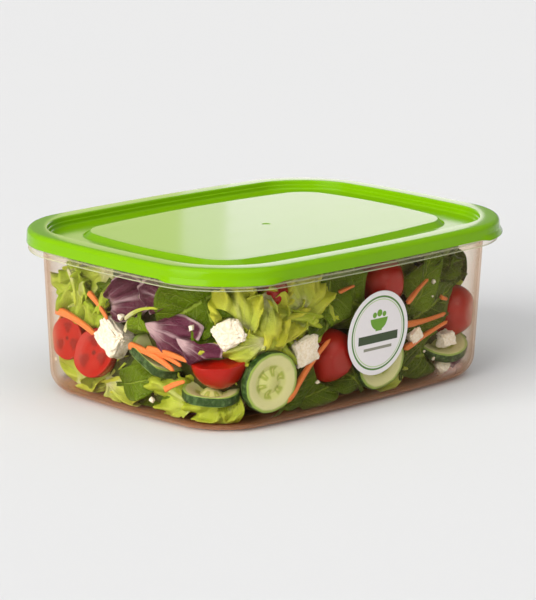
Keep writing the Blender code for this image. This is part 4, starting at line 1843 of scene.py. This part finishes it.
            stick = CarrotStick(draw.uniform(0.022, 0.036), 0.0034)
            skins.append(spot.put(stick.skin(float(draw.uniform(0, 1)))))
        self.laid(skins, "salad_carrot", CarrotOrange().build())

    def build(self) -> None:
        """Fill the tub."""
        self.heart()
        self.spinach()
        self.lettuce()
        self.radicchio()
        self.tomatoes()
        self.cucumber()
        self.feta()
        self.carrots()


# ---- Studio ----


@dataclass(frozen=True)
class Viewpoint:
    """Camera looking at the tub from its labelled side, a little to the left and above."""

    azimuth: float = -44.5
    elevation: float = 12.71
    roll: float = 0.538
    distance: float = 1.6786
    target: tuple[float, float, float] = (0.0, 0.0, 0.052)
    lens: float = 180.2
    shift: tuple[float, float] = (0.0042, -0.0179)

    def build(self) -> bpy.types.Object:
        """Make the camera and set it as the scene's.

        Returns:
            The camera.
        """
        data = bpy.data.cameras.new("camera")
        data.lens = self.lens
        data.sensor_width = 36.0
        data.sensor_fit = "AUTO"
        data.shift_x, data.shift_y = self.shift
        data.clip_start, data.clip_end = 0.05, 50.0
        made = bpy.data.objects.new("camera", data)
        bpy.context.scene.collection.objects.link(made)
        back = toward(self.azimuth, self.elevation)
        turn = (-back).to_track_quat("-Z", "Y").to_matrix().to_4x4()
        place = Matrix.Translation(Vector(self.target) + back * self.distance)
        made.matrix_world = place @ turn @ Matrix.Rotation(math.radians(self.roll), 4, "Z")
        bpy.context.scene.camera = made
        return made


@dataclass(frozen=True)
class Lamp:
    """Distant soft lamp: the heading and lift it shines from, its strength and its spread in degrees."""

    name: str
    heading: float
    lift: float
    strength: float
    angle: float


@dataclass(frozen=True)
class SoftPanel:
    """Upright soft panel that only mirrors show.

    It stands at a heading and distance from the tub, turned to it, with its middle moved right along its
    own plane.
    """

    name: str
    right: float
    width: float
    strength: float
    colour: tuple[float, float, float]
    heading: float = 135.5
    distance: float = 0.36
    z: float = 0.165
    height: float = 0.15


@dataclass(frozen=True)
class Studio:
    """Pale floor and surround, a low broad key from the left and three soft panels behind on the right.

    The key gives no gloss; a weaker twin does, so that the lid isn't blown out when seen from the right.
    """

    floor_size: float = 14.0
    floor_drop: float = 0.0002
    floor_colour: Colour = srgb(224, 225, 227)
    surround: float = 0.33
    lamp_colour: tuple[float, float, float] = (1.0, 0.985, 0.96)
    key: Lamp = Lamp("key", -86.0, 20.0, 3.8, 50.0)
    key_gloss: Lamp = Lamp("key_gloss", -86.0, 20.0, 1.6, 50.0)
    fill: Lamp = Lamp("fill", -12.0, 36.0, 0.55, 50.0)
    top: Lamp = Lamp("top", -60.0, 80.0, 0.9, 70.0)
    panels: tuple[SoftPanel, ...] = (
        SoftPanel("soft_panel", 0.058, 0.170, 1.95, (1.0, 0.84, 0.96)),
        SoftPanel("middle_panel", -0.042, 0.030, 1.45, (1.0, 0.88, 0.8)),
        SoftPanel("dim_panel", -0.100, 0.086, 1.05, (1.0, 0.92, 0.5)))

    def floor(self) -> bpy.types.Object:
        """Flat floor at the height the tub stands on.

        Returns:
            The floor.
        """
        g = Graph("studio_floor")
        colour = g.blend(g.noise(g.place(), 3.0, 2.0) * 0.3, self.floor_colour, srgb(228, 228, 228))
        material = g.finish(g.principled(colour, 0.9, {"Specular IOR Level": 0.1}))
        half, z = self.floor_size / 2, -self.floor_drop
        corners = [(-half, -half, z), (half, -half, z), (half, half, z), (-half, half, z)]
        mesh = bpy.data.meshes.new("floor")
        mesh.from_pydata(corners, [], [(0, 1, 2, 3)])
        mesh.materials.append(material)
        made = bpy.data.objects.new("floor", mesh)
        bpy.context.scene.collection.objects.link(made)
        return made

    def world(self) -> None:
        """Even pale surround."""
        world = bpy.data.worlds.new("surround")
        bpy.context.scene.world = world
        world.use_nodes = True
        back = world.node_tree.nodes["Background"]
        back.inputs["Color"].default_value = (1.0, 1.0, 1.0, 1.0)
        back.inputs["Strength"].default_value = self.surround

    def light(self, name: str, kind: str, heading: float, lift: float) -> bpy.types.Object:
        """Make a light that shines towards the tub.

        Args:
            name: Its name.
            kind: SUN or AREA.
            heading, lift: Where it shines from, in degrees.

        Returns:
            The light, at the origin.
        """
        made = bpy.data.objects.new(name, bpy.data.lights.new(name, kind))
        bpy.context.scene.collection.objects.link(made)
        made.rotation_mode = "QUATERNION"
        made.rotation_quaternion = (-toward(heading, lift)).to_track_quat("-Z", "Y")
        return made

    def broad(self, lamp: Lamp) -> bpy.types.Object:
        """Put up a distant soft lamp.

        Args:
            lamp: The lamp.

        Returns:
            Its light.
        """
        made = self.light(lamp.name, "SUN", lamp.heading, lamp.lift)
        made.data.energy = lamp.strength
        made.data.angle = math.radians(lamp.angle)
        made.data.color = self.lamp_colour
        return made

    def soft_panel(self, panel: SoftPanel) -> None:
        """Put up a soft panel; it adds only gloss.

        Args:
            panel: The panel.
        """
        made = self.light(panel.name, "AREA", panel.heading, 0.0)
        data = made.data
        data.shape = "RECTANGLE"
        data.size, data.size_y = panel.width, panel.height
        data.energy = panel.strength * math.pi * panel.width * panel.height
        data.color = panel.colour
        side = toward(panel.heading - 90.0, 0.0)
        made.location = toward(panel.heading, 0.0) * panel.distance + side * panel.right
        made.location.z = panel.z
        made.visible_camera = made.visible_diffuse = made.visible_transmission = False

    def build(self) -> None:
        """Put up the studio."""
        self.floor()
        self.world()
        self.broad(self.key).visible_glossy = False
        gloss = self.broad(self.key_gloss)
        gloss.visible_diffuse = gloss.visible_transmission = False
        self.broad(self.fill)
        self.broad(self.top)
        for panel in self.panels:
            self.soft_panel(panel)
        bpy.context.scene.view_settings.view_transform = "Standard"


def main() -> None:
    """Build everything in order and note the sizes."""
    logging.basicConfig(level=logging.INFO, format="%(name)s: %(message)s")
    Viewpoint().build()
    Studio().build()
    plan = outline_from_frame()
    tub = Tub(plan)
    tub.build()
    Lid(plan, tub).build()
    Label(tub).build()
    Salad(tub).build()
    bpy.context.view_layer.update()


if __name__ == "__main__":
    main()
